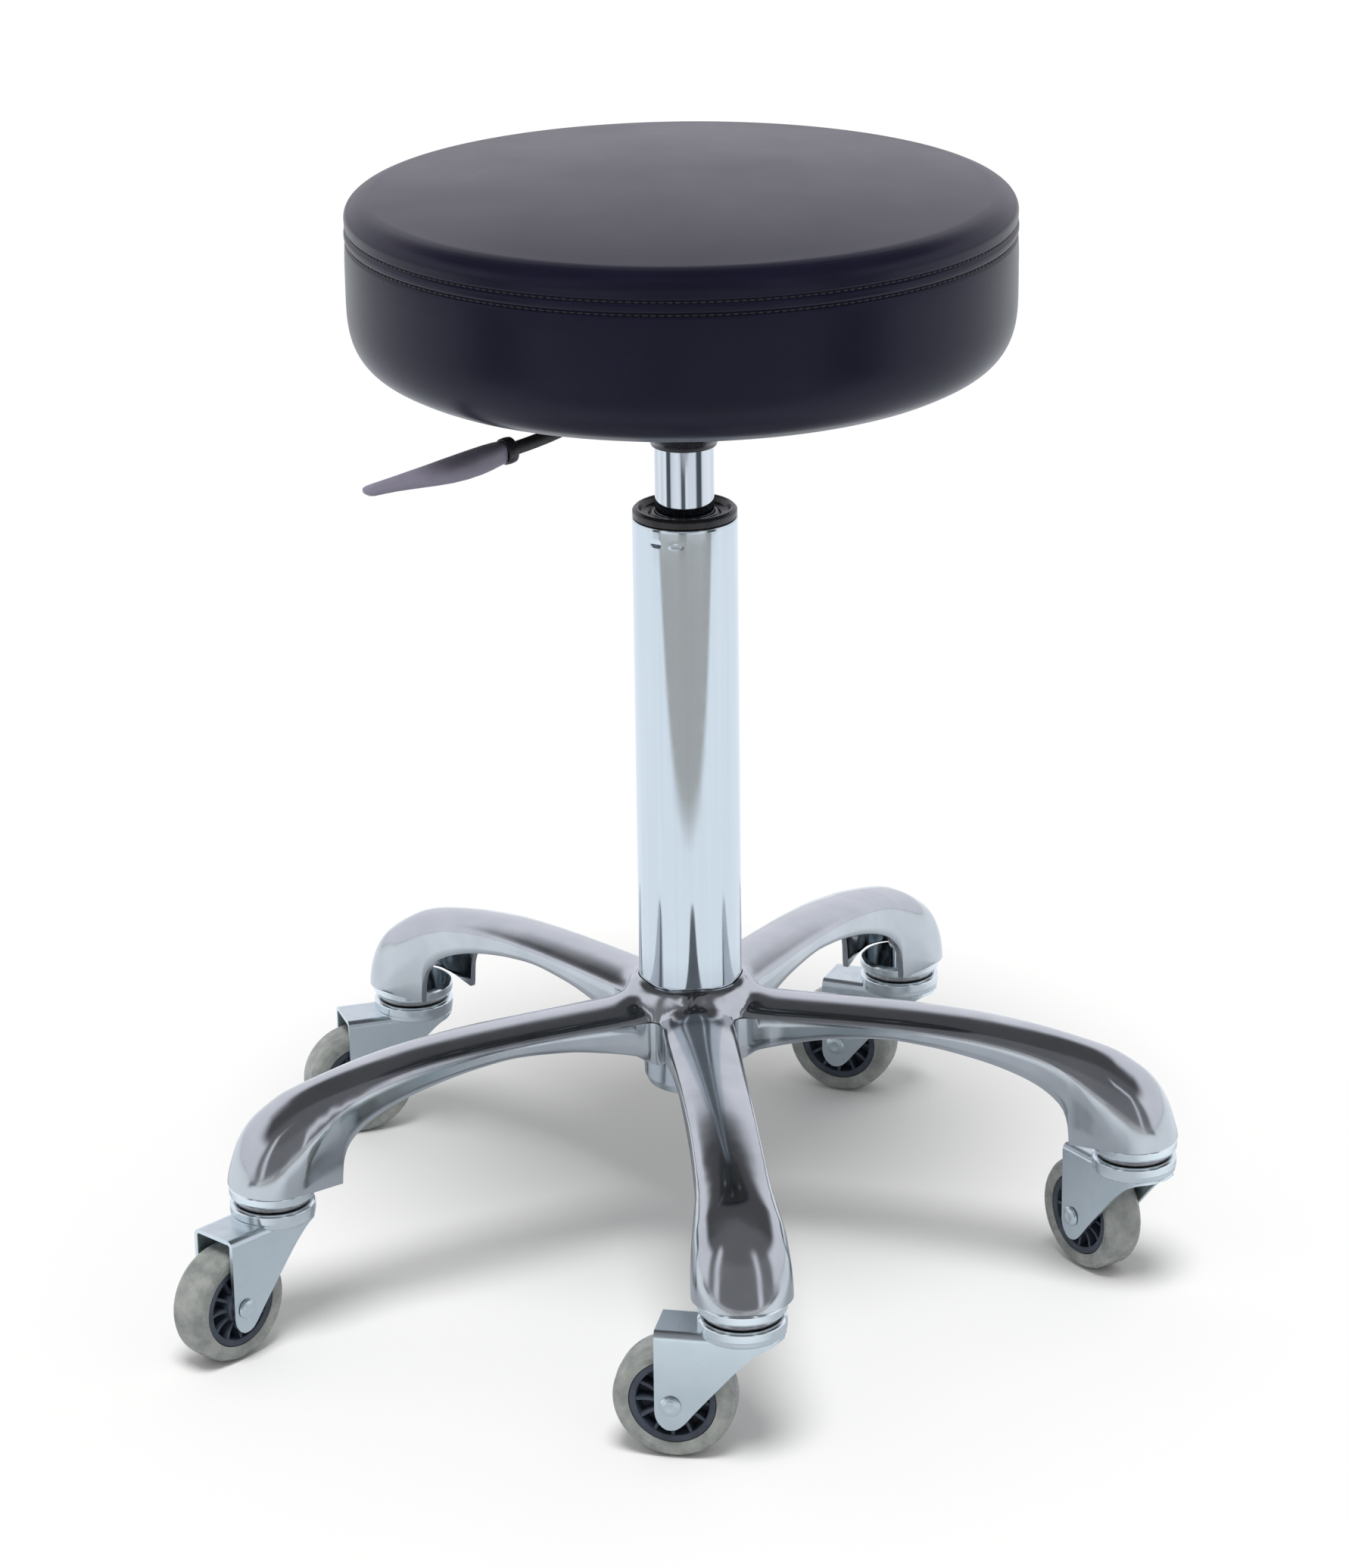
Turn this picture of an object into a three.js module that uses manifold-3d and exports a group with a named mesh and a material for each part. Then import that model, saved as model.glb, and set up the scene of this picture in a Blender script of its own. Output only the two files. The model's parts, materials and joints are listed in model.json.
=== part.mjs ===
// Rolling stylist stool: a five-arm base on swivel casters, a gas-lift column and a round padded seat.
// Millimetres, +Z up. The floor is z = 0, and the footprint's centre is the origin.
// The model is made about the column's axis, and the whole group is moved to the footprint's centre at the end.

import * as THREE from 'three';
import { mergeVertices } from 'three/addons/utils/BufferGeometryUtils.js';
import Module from 'manifold-3d';

const wasm = await Module();
wasm.setup();

// ---------------------------------------------------------------- driving dimensions
const GAP = 0.3; // between separate pieces that touch or run on each other
const FOOTPRINT_CENTRE = { x: -5.3, y: -10.3 }; // seen from the column's axis

// base and column
const ARM_COUNT = 5;
const FIRST_ARM_DEG = -84.35; // heading of the front arm
const SWIVEL_REACH = 218; // column axis to caster stem
const CASTING_WALL = 3;
const TIP_FLOOR = 80; // underside of the arm tips
const TIP_RADIUS = 22.3;
const HUB_BOTTOM = 112;
const HUB_TOP = 148;
const COLUMN_RADIUS = 25;
const COLUMN_WALL = 1.8;
const COLUMN_BOTTOM = 92.5;
const COLUMN_TOP = 380;
const COLUMN_SIDES = 24; // segments round the column, shared by the pieces that nest on it
const TAPER_END = { radius: 22.9, height: 97 }; // lower end of the column's taper

// gas lift, at its lowest
const LIFT_TRAVEL = 190;
const CYLINDER_RADIUS = 14;
const CYLINDER_WALL = 1.8;
const CYLINDER_BOTTOM = 112;
const CYLINDER_TOP = 438;
const CYLINDER_CAP = 6;
const ROD_RADIUS = 5;
const ROD_BOTTOM = 86;
const PISTON_HEIGHT = 10;
const CLIP_HEIGHT = 89.4; // middle of the retaining clip
const PIN_RADIUS = 4;

// caster
const TRAIL = 31; // stem to axle
const TRAIL_HEADINGS_DEG = [169, 124, 158, 198, 227]; // where each wheel trails, from the front arm round
const WHEEL_RADIUS = 28.5;
const WHEEL_WIDTH = 20;
const CORE_RADIUS = 20.2;
const AXLE_RADIUS = 4;
const AXLE_HEAD = 5; // the riveted ends
const FORK_WIDTH = 26.4;
const FORK_SHEET = 2;
const FORK_PLATE_TOP = 65;
const CUP_TOP = 70.5;
const CUP_RADIUS = 19.5;
const CAP_BOTTOM = 73.5;
const CAP_RADIUS = 20.4;
const STEM_RADIUS = 5.5;
const STEM_TOP = 108;

// seat
const SEAT_RADIUS = 155.4;
const SEAT_BOTTOM = 453.5;
const SEAT_CROWN = 544;
const SEAT_SIDES = 32; // segments round the seat, shared by the pieces that nest in it
const COVER_SKIN = 2.5;
const BOARD_RADIUS = 133.7;
const BOARD_BOTTOM = 455;
const BOARD_THICK = 12;
const PLATE_SIDE = 130;
const PLATE_THICK = 2.5;
const PLATE_BOTTOM = 450.9;
const BOLT_OFFSET = 50; // each bolt, from the axis, along both of the plate's sides
const BOLT_RADIUS = 4;

// release lever
const LEVER_HEADING_DEG = 217;
const LEVER_RADIUS = 3.2;
const LEVER_PIVOT = { reach: 30, height: 443.8 };
const LEVER_INNER_HEIGHT = 446.8; // the flat end above the release pin
const PIVOT_RADIUS = 2.5;
const HANDLE_START = 98;
const HANDLE_LENGTH = 80;
const HOUSING = { inner: -26, outer: 42, halfWidth: 20, bottom: 434, sheet: 2 };
const SOCKET = { radius: 17.5, bottom: 421, top: 440 };
const CONE_BOTTOM = 415; // lower end of the plastic cover round the socket

// ---------------------------------------------------------------- materials
const finish = (color, roughness, metalness) => new THREE.MeshStandardMaterial({ color, roughness, metalness });
const FINISHES = {
  castAluminium: finish(0xb9bcc2, 0.28, 1),
  chrome: finish(0xd4d8dc, 0.08, 1),
  zinc: finish(0xaebbc0, 0.3, 1),
  steel: finish(0x9a9ea2, 0.35, 1),
  paintedSteel: finish(0x1b1b1e, 0.5, 0.4),
  plastic: finish(0x17171b, 0.5, 0),
  polyurethane: finish(0x9c9a93, 0.45, 0),
  rubber: finish(0x111111, 0.8, 0),
  vinyl: finish(0x1c1c24, 0.42, 0),
  foam: finish(0xd9cfa8, 0.95, 0),
  plywood: finish(0xb98d5c, 0.7, 0),
  fabric: finish(0x121214, 0.95, 0),
};

// ---------------------------------------------------------------- geometry helpers
const radians = THREE.MathUtils.degToRad;

function toSolid(geometry) {
  const bare = geometry.clone();
  bare.deleteAttribute('normal');
  bare.deleteAttribute('uv');
  const merged = mergeVertices(bare, 1e-4);
  const mesh = new wasm.Mesh({
    numProp: 3,
    vertProperties: Float32Array.from(merged.attributes.position.array),
    triVerts: Uint32Array.from(merged.index.array),
  });
  return new wasm.Manifold(mesh);
}

function toGeometry(solid) {
  const mesh = solid.getMesh();
  const geometry = new THREE.BufferGeometry();
  geometry.setAttribute('position', new THREE.BufferAttribute(Float32Array.from(mesh.vertProperties), 3));
  geometry.setIndex(new THREE.BufferAttribute(Uint32Array.from(mesh.triVerts), 1));
  geometry.computeVertexNormals();
  return geometry;
}

const points = (pairs) => pairs.map(([x, y]) => new THREE.Vector2(x, y));

// A turned piece about Y. The profile's outer side runs upwards.
const turnedAboutY = (profile, segments) => new THREE.LatheGeometry(points(profile), segments);

// The same about Z, with the profile as [radius, height].
const turned = (profile, segments) => turnedAboutY(profile, segments).rotateX(Math.PI / 2);

const ring = (inner, outer, bottom, top, segments) =>
  turned([[inner, bottom], [outer, bottom], [outer, top], [inner, top], [inner, bottom]], segments);

const disc = (radius, bottom, top, segments) =>
  turned([[0, bottom], [radius, bottom], [radius, top], [0, top]], segments);

// An outline in X and Z, as thick as width along Y and centred on it.
function slab(shape, width, curveSegments = 6) {
  const options = { depth: width, bevelEnabled: false, curveSegments };
  return new THREE.ExtrudeGeometry(shape, options).rotateX(Math.PI / 2).translate(0, width / 2, 0);
}

// A plan outline in X and Y, from one height to another.
function plate(shape, bottom, top, curveSegments = 6) {
  const options = { depth: top - bottom, bevelEnabled: false, curveSegments };
  return new THREE.ExtrudeGeometry(shape, options).translate(0, 0, bottom);
}

const block = (x0, x1, y0, y1, z0, z1) =>
  new THREE.BoxGeometry(x1 - x0, y1 - y0, z1 - z0).translate((x0 + x1) / 2, (y0 + y1) / 2, (z0 + z1) / 2);

// A solid through sections along X. Each section lists [y, z], counterclockwise as seen from +X.
function loft(stations) {
  const size = stations[0].section.length;
  const vertices = stations.flatMap(({ x, section }) => section.flatMap(([y, z]) => [x, y, z]));
  const faces = [];
  for (let s = 0; s < stations.length - 1; s++) {
    for (let i = 0; i < size; i++) {
      const a = s * size + i;
      const b = s * size + ((i + 1) % size);
      faces.push(a, b, b + size, a, b + size, a + size);
    }
  }
  const last = (stations.length - 1) * size;
  for (let i = 1; i < size - 1; i++) {
    faces.push(0, i + 1, i, last, last + i, last + i + 1);
  }
  const geometry = new THREE.BufferGeometry();
  geometry.setAttribute('position', new THREE.Float32BufferAttribute(vertices, 3));
  geometry.setIndex(faces);
  return geometry;
}

function piece(name, geometry, material) {
  const mesh = new THREE.Mesh(geometry, material);
  mesh.name = name;
  return mesh;
}

// ---------------------------------------------------------------- base
const columnRadiusAt = (z) =>
  TAPER_END.radius + ((z - TAPER_END.height) / (HUB_TOP - TAPER_END.height)) * (COLUMN_RADIUS - TAPER_END.radius);

// Along an arm: reach, crown height, skirt height, half width.
const ARM_STATIONS = [
  [18, 141, 119, 18],
  [40, 140.5, 122, 17.5],
  [90, 138.5, 128, 16.5],
  [130, 136, 123.5, 16.5],
  [160, 133, 116, 17.5],
  [178, 130, 106, 18.5],
  [188, 127.5, TIP_FLOOR, 19.5],
  [203, 122.5, TIP_FLOOR, 21.5],
  [219, 115, TIP_FLOOR, 22],
];

function armSection(crown, skirt, half) {
  const rise = Math.min(8, 0.6 * (crown - skirt));
  return [
    [-half, skirt],
    [half, skirt],
    [half, crown - rise],
    [0.85 * half, crown - 0.4 * rise],
    [0.5 * half, crown],
    [-0.5 * half, crown],
    [-0.85 * half, crown - 0.4 * rise],
    [-half, crown - rise],
  ];
}

function channelSection(crown, skirt, half) {
  const inside = half - CASTING_WALL;
  const roof = crown - CASTING_WALL - 0.5;
  return [
    [-inside, skirt - 6],
    [inside, skirt - 6],
    [inside, roof - 3],
    [0.5 * inside, roof],
    [-0.5 * inside, roof],
    [-inside, roof - 3],
  ];
}

function tipDome(radius, top, bottom) {
  const rise = top - TIP_FLOOR;
  const profile = [[0, bottom], [radius, bottom], [radius, TIP_FLOOR + 0.2 * rise]];
  for (const step of [0.3, 0.55, 0.8]) {
    const angle = (step * Math.PI) / 2;
    profile.push([radius * Math.cos(angle), TIP_FLOOR + rise * (0.2 + 0.8 * Math.sin(angle))]);
  }
  return turned([...profile, [0, top]], 16).translate(SWIVEL_REACH, 0, 0);
}

function armSolids() {
  const outside = loft(ARM_STATIONS.map(([x, crown, skirt, half]) => ({ x, section: armSection(crown, skirt, half) })));
  const channelStart = 36;
  const channel = loft(
    ARM_STATIONS.map(([x, crown, skirt, half]) => ({
      x: Math.max(x, channelStart),
      section: channelSection(crown, skirt, half),
    })).slice(1),
  );
  const tipTop = 116;
  const shell = toSolid(outside).add(toSolid(tipDome(TIP_RADIUS, tipTop, TIP_FLOOR)));
  const hollow = toSolid(channel).add(
    toSolid(tipDome(TIP_RADIUS - CASTING_WALL, tipTop - CASTING_WALL - 0.5, TIP_FLOOR - 6)),
  );
  const boss = toSolid(disc(9, TIP_FLOOR, tipTop - 2, 10).translate(SWIVEL_REACH, 0, 0));
  const stemBore = toSolid(disc(STEM_RADIUS + GAP, TIP_FLOOR - 1, STEM_TOP + 1, 10).translate(SWIVEL_REACH, 0, 0));
  return shell.subtract(hollow).add(boss).subtract(stemBore);
}

function starBase() {
  const hub = [
    [0, HUB_BOTTOM],
    [28, HUB_BOTTOM],
    [30.5, HUB_BOTTOM + 10],
    [31, HUB_TOP - 9],
    [29, HUB_TOP - 1.5],
    [27.5, HUB_TOP],
    [0, HUB_TOP],
  ];
  let casting = toSolid(turned(hub, COLUMN_SIDES));
  const arm = armSolids();
  for (let k = 0; k < ARM_COUNT; k++) {
    casting = casting.add(arm.rotate([0, 0, FIRST_ARM_DEG + (k * 360) / ARM_COUNT]));
  }
  const low = HUB_BOTTOM - 8;
  const high = HUB_TOP + 8;
  const bore = turned(
    [[0, low], [columnRadiusAt(low) + GAP, low], [columnRadiusAt(high) + GAP, high], [0, high]],
    COLUMN_SIDES,
  );
  return piece('star_base', toGeometry(casting.subtract(toSolid(bore))), FINISHES.castAluminium);
}

// ---------------------------------------------------------------- column and gas lift
function columnTube() {
  const inside = COLUMN_RADIUS - COLUMN_WALL;
  const floor = COLUMN_BOTTOM + 3;
  const taperInside = TAPER_END.radius - COLUMN_WALL;
  const profile = [
    [6.5, COLUMN_BOTTOM],
    [TAPER_END.radius - 2.4, COLUMN_BOTTOM],
    [TAPER_END.radius, TAPER_END.height],
    [COLUMN_RADIUS, HUB_TOP],
    [COLUMN_RADIUS, COLUMN_TOP],
    [inside, COLUMN_TOP],
    [inside, HUB_TOP],
    [taperInside, TAPER_END.height],
    [taperInside, floor],
    [6.5, floor],
    [6.5, COLUMN_BOTTOM],
  ];
  return piece('column_tube', turned(profile, COLUMN_SIDES), FINISHES.chrome);
}

function guideBush() {
  const bore = CYLINDER_RADIUS + GAP + 0.05;
  const sleeve = COLUMN_RADIUS - COLUMN_WALL - GAP;
  const seat = COLUMN_TOP + GAP;
  const profile = [
    [bore, COLUMN_TOP - 75],
    [sleeve, COLUMN_TOP - 75],
    [sleeve, seat],
    [24.6, seat],
    [24.6, seat + 2.7],
    [23, seat + 4.5],
    [21, seat + 4.5],
    [18.5, seat + 2],
    [bore, seat + 2],
    [bore, COLUMN_TOP - 75],
  ];
  return piece('guide_bush', turned(profile, COLUMN_SIDES), FINISHES.plastic);
}

function gasCylinder() {
  const inside = CYLINDER_RADIUS - CYLINDER_WALL;
  const rodBore = ROD_RADIUS + GAP;
  const pinBore = PIN_RADIUS + GAP;
  const bottomCap = CYLINDER_BOTTOM + CYLINDER_CAP;
  const topCap = CYLINDER_TOP - CYLINDER_CAP;
  const profile = [
    [rodBore, CYLINDER_BOTTOM],
    [CYLINDER_RADIUS, CYLINDER_BOTTOM],
    [CYLINDER_RADIUS, SOCKET.bottom],
    [CYLINDER_RADIUS - 0.4, CYLINDER_TOP - 1],
    [CYLINDER_RADIUS - 1.5, CYLINDER_TOP],
    [pinBore, CYLINDER_TOP],
    [pinBore, topCap],
    [inside, topCap],
    [inside, bottomCap],
    [rodBore, bottomCap],
    [rodBore, CYLINDER_BOTTOM],
  ];
  return piece('gas_cylinder', turned(profile, 20), FINISHES.chrome);
}

// The piston stops short of the cylinder's bottom cap when the seat is at its highest.
const PISTON_BOTTOM = CYLINDER_BOTTOM + CYLINDER_CAP + LIFT_TRAVEL + 2;
const BEARING_BOTTOM = COLUMN_BOTTOM + 3 + GAP;
const BEARING_HEIGHT = 6.4;

function pistonRod() {
  const groove = 0.8;
  const profile = [
    [0, ROD_BOTTOM],
    [ROD_RADIUS, ROD_BOTTOM],
    [ROD_RADIUS, CLIP_HEIGHT - groove],
    [ROD_RADIUS - 1, CLIP_HEIGHT - groove],
    [ROD_RADIUS - 1, CLIP_HEIGHT + groove],
    [ROD_RADIUS, CLIP_HEIGHT + groove],
    [ROD_RADIUS, PISTON_BOTTOM + PISTON_HEIGHT + 2],
    [0, PISTON_BOTTOM + PISTON_HEIGHT + 2],
  ];
  return piece('piston_rod', turned(profile, 14), FINISHES.steel);
}

function piston() {
  const outside = CYLINDER_RADIUS - CYLINDER_WALL - GAP;
  const geometry = ring(ROD_RADIUS + GAP, outside, PISTON_BOTTOM, PISTON_BOTTOM + PISTON_HEIGHT, 16);
  return piece('piston', geometry, FINISHES.steel);
}

function thrustBearing() {
  const bore = ROD_RADIUS + 0.4;
  const top = BEARING_BOTTOM + BEARING_HEIGHT;
  const washer = 2;
  const profile = [
    [bore, BEARING_BOTTOM],
    [14, BEARING_BOTTOM],
    [14, BEARING_BOTTOM + washer],
    [12.5, BEARING_BOTTOM + washer],
    [12.5, top - washer],
    [14, top - washer],
    [14, top],
    [bore, top],
    [bore, BEARING_BOTTOM],
  ];
  return piece('thrust_bearing', turned(profile, 16), FINISHES.steel);
}

function bumpStop() {
  const bottom = BEARING_BOTTOM + BEARING_HEIGHT + GAP;
  return piece('bump_stop', ring(ROD_RADIUS + 0.4, 11, bottom, CYLINDER_BOTTOM - GAP, 16), FINISHES.rubber);
}

function retainingClip() {
  const opening = radians(40);
  const shape = new THREE.Shape();
  shape.absarc(0, 0, 8.5, opening, 2 * Math.PI - opening, false);
  shape.absarc(0, 0, ROD_RADIUS - 0.7, 2 * Math.PI - opening, opening, true);
  return piece('retaining_clip', plate(shape, CLIP_HEIGHT - 0.5, CLIP_HEIGHT + 0.5, 10), FINISHES.steel);
}

function releasePin() {
  const top = LEVER_INNER_HEIGHT - LEVER_RADIUS - GAP;
  return piece('release_pin', disc(PIN_RADIUS, CYLINDER_TOP - 8, top, 12), FINISHES.steel);
}

// ---------------------------------------------------------------- casters
// Made with the stem on Z at the origin and the wheel trailing along +X.
function casterStem(name) {
  const rivetTop = CUP_TOP - 3 - GAP;
  const profile = [
    [0, rivetTop - 3.5],
    [8, rivetTop - 3.5],
    [8, rivetTop],
    [5, rivetTop],
    [5, CAP_BOTTOM],
    [CAP_RADIUS, CAP_BOTTOM],
    [CAP_RADIUS, TIP_FLOOR - 1.5],
    [CAP_RADIUS - 1.2, TIP_FLOOR - GAP],
    [STEM_RADIUS, TIP_FLOOR - GAP],
    [STEM_RADIUS, STEM_TOP],
    [0, STEM_TOP],
  ];
  return piece(name, turned(profile, 14), FINISHES.zinc);
}

const ballRace = (name) =>
  piece(name, ring(5 + GAP, 17.5, CUP_TOP + GAP, CAP_BOTTOM - GAP, 14), FINISHES.steel);

function forkOutline() {
  const shape = new THREE.Shape();
  const back = TRAIL + 7.5;
  const lobe = { x: TRAIL - 0.2, z: 23.7, radius: 7.7 };
  shape.moveTo(-16, FORK_PLATE_TOP);
  shape.lineTo(-16, FORK_PLATE_TOP - 2.5);
  shape.lineTo(lobe.x - lobe.radius, lobe.z);
  shape.absarc(lobe.x, lobe.z, lobe.radius, Math.PI, 2 * Math.PI, false);
  shape.lineTo(back, FORK_PLATE_TOP);
  shape.closePath();
  return shape;
}

function fork(name) {
  const inside = FORK_WIDTH / 2 - FORK_SHEET;
  const body = toSolid(slab(forkOutline(), FORK_WIDTH, 4));
  const cup = toSolid(disc(CUP_RADIUS, FORK_PLATE_TOP - 2.5, CUP_TOP, 16));
  const wheelSpace = toSolid(block(-30, 60, -inside, inside, 0, FORK_PLATE_TOP - 2.5));
  const cupHollow = toSolid(disc(15, FORK_PLATE_TOP - 8, CUP_TOP - 3, 12));
  const rivetBore = toSolid(disc(5 + GAP, 50, CUP_TOP + 1, 10));
  const axleBore = toSolid(
    new THREE.CylinderGeometry(AXLE_RADIUS + GAP, AXLE_RADIUS + GAP, 60, 10).translate(TRAIL, 0, WHEEL_RADIUS),
  );
  const solid = body.subtract(wheelSpace).add(cup).subtract(cupHollow).subtract(rivetBore).subtract(axleBore);
  return piece(name, toGeometry(solid), FINISHES.zinc);
}

// Pieces on the axle are turned about Y.
function axle(name) {
  const seat = FORK_WIDTH / 2 + GAP;
  const headEnd = [[AXLE_RADIUS, seat], [AXLE_HEAD, seat], [AXLE_HEAD, seat + 0.6], [3.2, seat + 1.8], [0, seat + 1.8]];
  const profile = [...headEnd.map(([r, y]) => [r, -y]).toReversed(), ...headEnd];
  return piece(name, turnedAboutY(profile, 12), FINISHES.zinc);
}

function wheelCore(name) {
  const hubEnd = 10.6;
  const rimEnd = WHEEL_WIDTH / 2 - 1;
  const side = [[8.5, hubEnd], [9.5, 6.5], [15.5, 6.5], [16.5, rimEnd], [CORE_RADIUS, rimEnd]];
  const bore = AXLE_RADIUS + GAP;
  const profile = [
    [bore, -hubEnd],
    ...side.map(([r, y]) => [r, -y]),
    ...side.toReversed(),
    [bore, hubEnd],
    [bore, -hubEnd],
  ];
  return piece(name, turnedAboutY(profile, 16), FINISHES.plastic);
}

function tread(name) {
  const inside = CORE_RADIUS + GAP;
  const edge = WHEEL_WIDTH / 2;
  const profile = [
    [inside, -edge + 1],
    [WHEEL_RADIUS - 3, -edge],
    [WHEEL_RADIUS - 0.9, -edge + 2.2],
    [WHEEL_RADIUS, -edge + 6],
    [WHEEL_RADIUS, edge - 6],
    [WHEEL_RADIUS - 0.9, edge - 2.2],
    [WHEEL_RADIUS - 3, edge],
    [inside, edge - 1],
    [inside, -edge + 1],
  ];
  return piece(name, turnedAboutY(profile, 20), FINISHES.polyurethane);
}

function caster(index) {
  const label = index + 1;
  const heading = radians(FIRST_ARM_DEG + (index * 360) / ARM_COUNT);
  const group = new THREE.Group();
  group.position.set(SWIVEL_REACH * Math.cos(heading), SWIVEL_REACH * Math.sin(heading), 0);
  group.rotation.z = radians(TRAIL_HEADINGS_DEG[index]);
  const onAxle = new THREE.Group();
  onAxle.position.set(TRAIL, 0, WHEEL_RADIUS);
  onAxle.add(axle(`axle_${label}`), wheelCore(`wheel_core_${label}`), tread(`tread_${label}`));
  group.add(casterStem(`caster_stem_${label}`), ballRace(`ball_race_${label}`), fork(`fork_${label}`), onAxle);
  return group;
}

// ---------------------------------------------------------------- seat
// A quarter of a superellipse, from its lower or upper end to its widest point.
function roundedCorner(centre, across, high, power, steps, firstStep = 0) {
  const corner = [];
  for (let i = firstStep; i <= steps; i++) {
    const angle = ((1 - i / steps) * Math.PI) / 2;
    const out = across * Math.cos(angle) ** (2 / power);
    const rise = high * Math.sin(angle) ** (2 / power);
    corner.push([centre[0] + out, centre[1] + rise]);
  }
  return corner;
}

// The seat's outline from its lower rim up to the crown, taken in by inset.
function seatOutline(inset, steps) {
  const lower = { centre: [110, 492.8], power: 3.2 };
  const upper = { centre: [81, 516], power: 2.65 };
  const lowerEdge = roundedCorner(
    lower.centre,
    SEAT_RADIUS - lower.centre[0] - inset,
    -(lower.centre[1] - SEAT_BOTTOM - inset),
    lower.power,
    steps,
    2,
  );
  const upperEdge = roundedCorner(
    upper.centre,
    SEAT_RADIUS - upper.centre[0] - inset,
    SEAT_CROWN - 1.5 - upper.centre[1] - inset,
    upper.power,
    steps,
  );
  return [...lowerEdge, ...upperEdge.toReversed(), [24, SEAT_CROWN - inset], [0, SEAT_CROWN - inset]];
}

function seatCover() {
  const rim = BOARD_RADIUS + GAP;
  const outside = seatOutline(0, 5);
  const inside = seatOutline(COVER_SKIN, 4);
  const profile = [
    ...inside.toReversed(),
    [rim + 1, SEAT_BOTTOM + 3.5],
    [rim, SEAT_BOTTOM + 1],
    [rim + 1.5, SEAT_BOTTOM + 0.1],
    ...outside,
  ];
  return piece('seat_cover', turned(profile, SEAT_SIDES), FINISHES.vinyl);
}

function seatFoam() {
  const outside = seatOutline(COVER_SKIN + GAP, 4);
  const rim = BOARD_RADIUS + GAP + 0.4;
  const bottom = BOARD_BOTTOM + BOARD_THICK + GAP;
  const profile = [[0, bottom], [rim, bottom], [rim, bottom - 6], [rim + 4, bottom - 6], ...outside.slice(1)];
  return piece('seat_foam', turned(profile, SEAT_SIDES), FINISHES.foam);
}

function boltPlaces() {
  const sides = [1, -1];
  return sides.flatMap((x) => sides.map((y) => [x * BOLT_OFFSET, y * BOLT_OFFSET]));
}

function withBoltHoles(geometry, bottom, top) {
  let solid = toSolid(geometry);
  for (const [x, y] of boltPlaces()) {
    solid = solid.subtract(toSolid(disc(BOLT_RADIUS + GAP, bottom - 1, top + 1, 8).translate(x, y, 0)));
  }
  return toGeometry(solid);
}

function seatBoard() {
  const top = BOARD_BOTTOM + BOARD_THICK;
  const board = disc(BOARD_RADIUS, BOARD_BOTTOM, top, SEAT_SIDES);
  return piece('seat_board', withBoltHoles(board, BOARD_BOTTOM, top), FINISHES.plywood);
}

function dustCover() {
  const bottom = PLATE_BOTTOM + PLATE_THICK + GAP;
  const top = BOARD_BOTTOM - GAP;
  return piece('dust_cover', withBoltHoles(disc(BOARD_RADIUS - 1, bottom, top, SEAT_SIDES), bottom, top), FINISHES.fabric);
}

function roundedSquare(side, corner) {
  const half = side / 2;
  const shape = new THREE.Shape();
  for (let i = 0; i < 4; i++) {
    const middle = (i * Math.PI) / 2 + Math.PI / 4;
    const x = Math.sign(Math.cos(middle)) * (half - corner);
    const y = Math.sign(Math.sin(middle)) * (half - corner);
    shape.absarc(x, y, corner, (i * Math.PI) / 2, ((i + 1) * Math.PI) / 2, false);
  }
  return shape;
}

function seatPlate() {
  const top = PLATE_BOTTOM + PLATE_THICK;
  const sheet = plate(roundedSquare(PLATE_SIDE, 14), PLATE_BOTTOM, top, 4);
  return piece('seat_plate', withBoltHoles(sheet, PLATE_BOTTOM, top), FINISHES.paintedSteel);
}

function seatBolt(name, [x, y]) {
  const seat = PLATE_BOTTOM - GAP;
  const profile = [
    [0, seat - 4.4],
    [5, seat - 4.4],
    [7.2, seat - 2.5],
    [7.2, seat],
    [BOLT_RADIUS, seat],
    [BOLT_RADIUS, BOARD_BOTTOM + 9],
    [0, BOARD_BOTTOM + 9],
  ];
  return piece(name, turned(profile, 8).translate(x, y, 0), FINISHES.zinc);
}

// ---------------------------------------------------------------- release lever
// Made with the lever pointing along +X.
function leverHousing() {
  const { inner, outer, halfWidth, bottom, sheet } = HOUSING;
  const top = PLATE_BOTTOM - GAP;
  const slot = 4.6;
  const pan = toSolid(block(inner, outer, -halfWidth, halfWidth, bottom, top));
  const space = block(inner + sheet, outer - sheet, sheet - halfWidth, halfWidth - sheet, bottom + sheet, top + 1);
  const leverSlot = block(outer - 2 * sheet, outer + 1, -slot, slot, bottom + sheet, top + 1);
  const socket = toSolid(disc(SOCKET.radius, SOCKET.bottom, SOCKET.top, 20));
  const socketBore = toSolid(disc(CYLINDER_RADIUS + GAP + 0.05, SOCKET.bottom - 1, SOCKET.top + 1, 20));
  const hole = PIVOT_RADIUS + GAP;
  const pivotHole = toSolid(
    new THREE.CylinderGeometry(hole, hole, 60, 12).translate(LEVER_PIVOT.reach, 0, LEVER_PIVOT.height),
  );
  const solid = pan
    .subtract(toSolid(space))
    .subtract(toSolid(leverSlot))
    .add(socket)
    .subtract(socketBore)
    .subtract(pivotHole);
  return piece('lever_housing', toGeometry(solid), FINISHES.paintedSteel);
}

function socketCover() {
  const bore = CYLINDER_RADIUS + 0.4;
  const clear = SOCKET.radius + 0.4;
  const lip = SOCKET.bottom - 0.4;
  const top = HOUSING.bottom - GAP;
  const profile = [
    [bore, CONE_BOTTOM],
    [15.6, CONE_BOTTOM],
    [22, CONE_BOTTOM + 8],
    [25, top],
    [clear, top],
    [clear, lip],
    [bore, lip],
    [bore, CONE_BOTTOM],
  ];
  return piece('socket_cover', turned(profile, 24), FINISHES.plastic);
}

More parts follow.
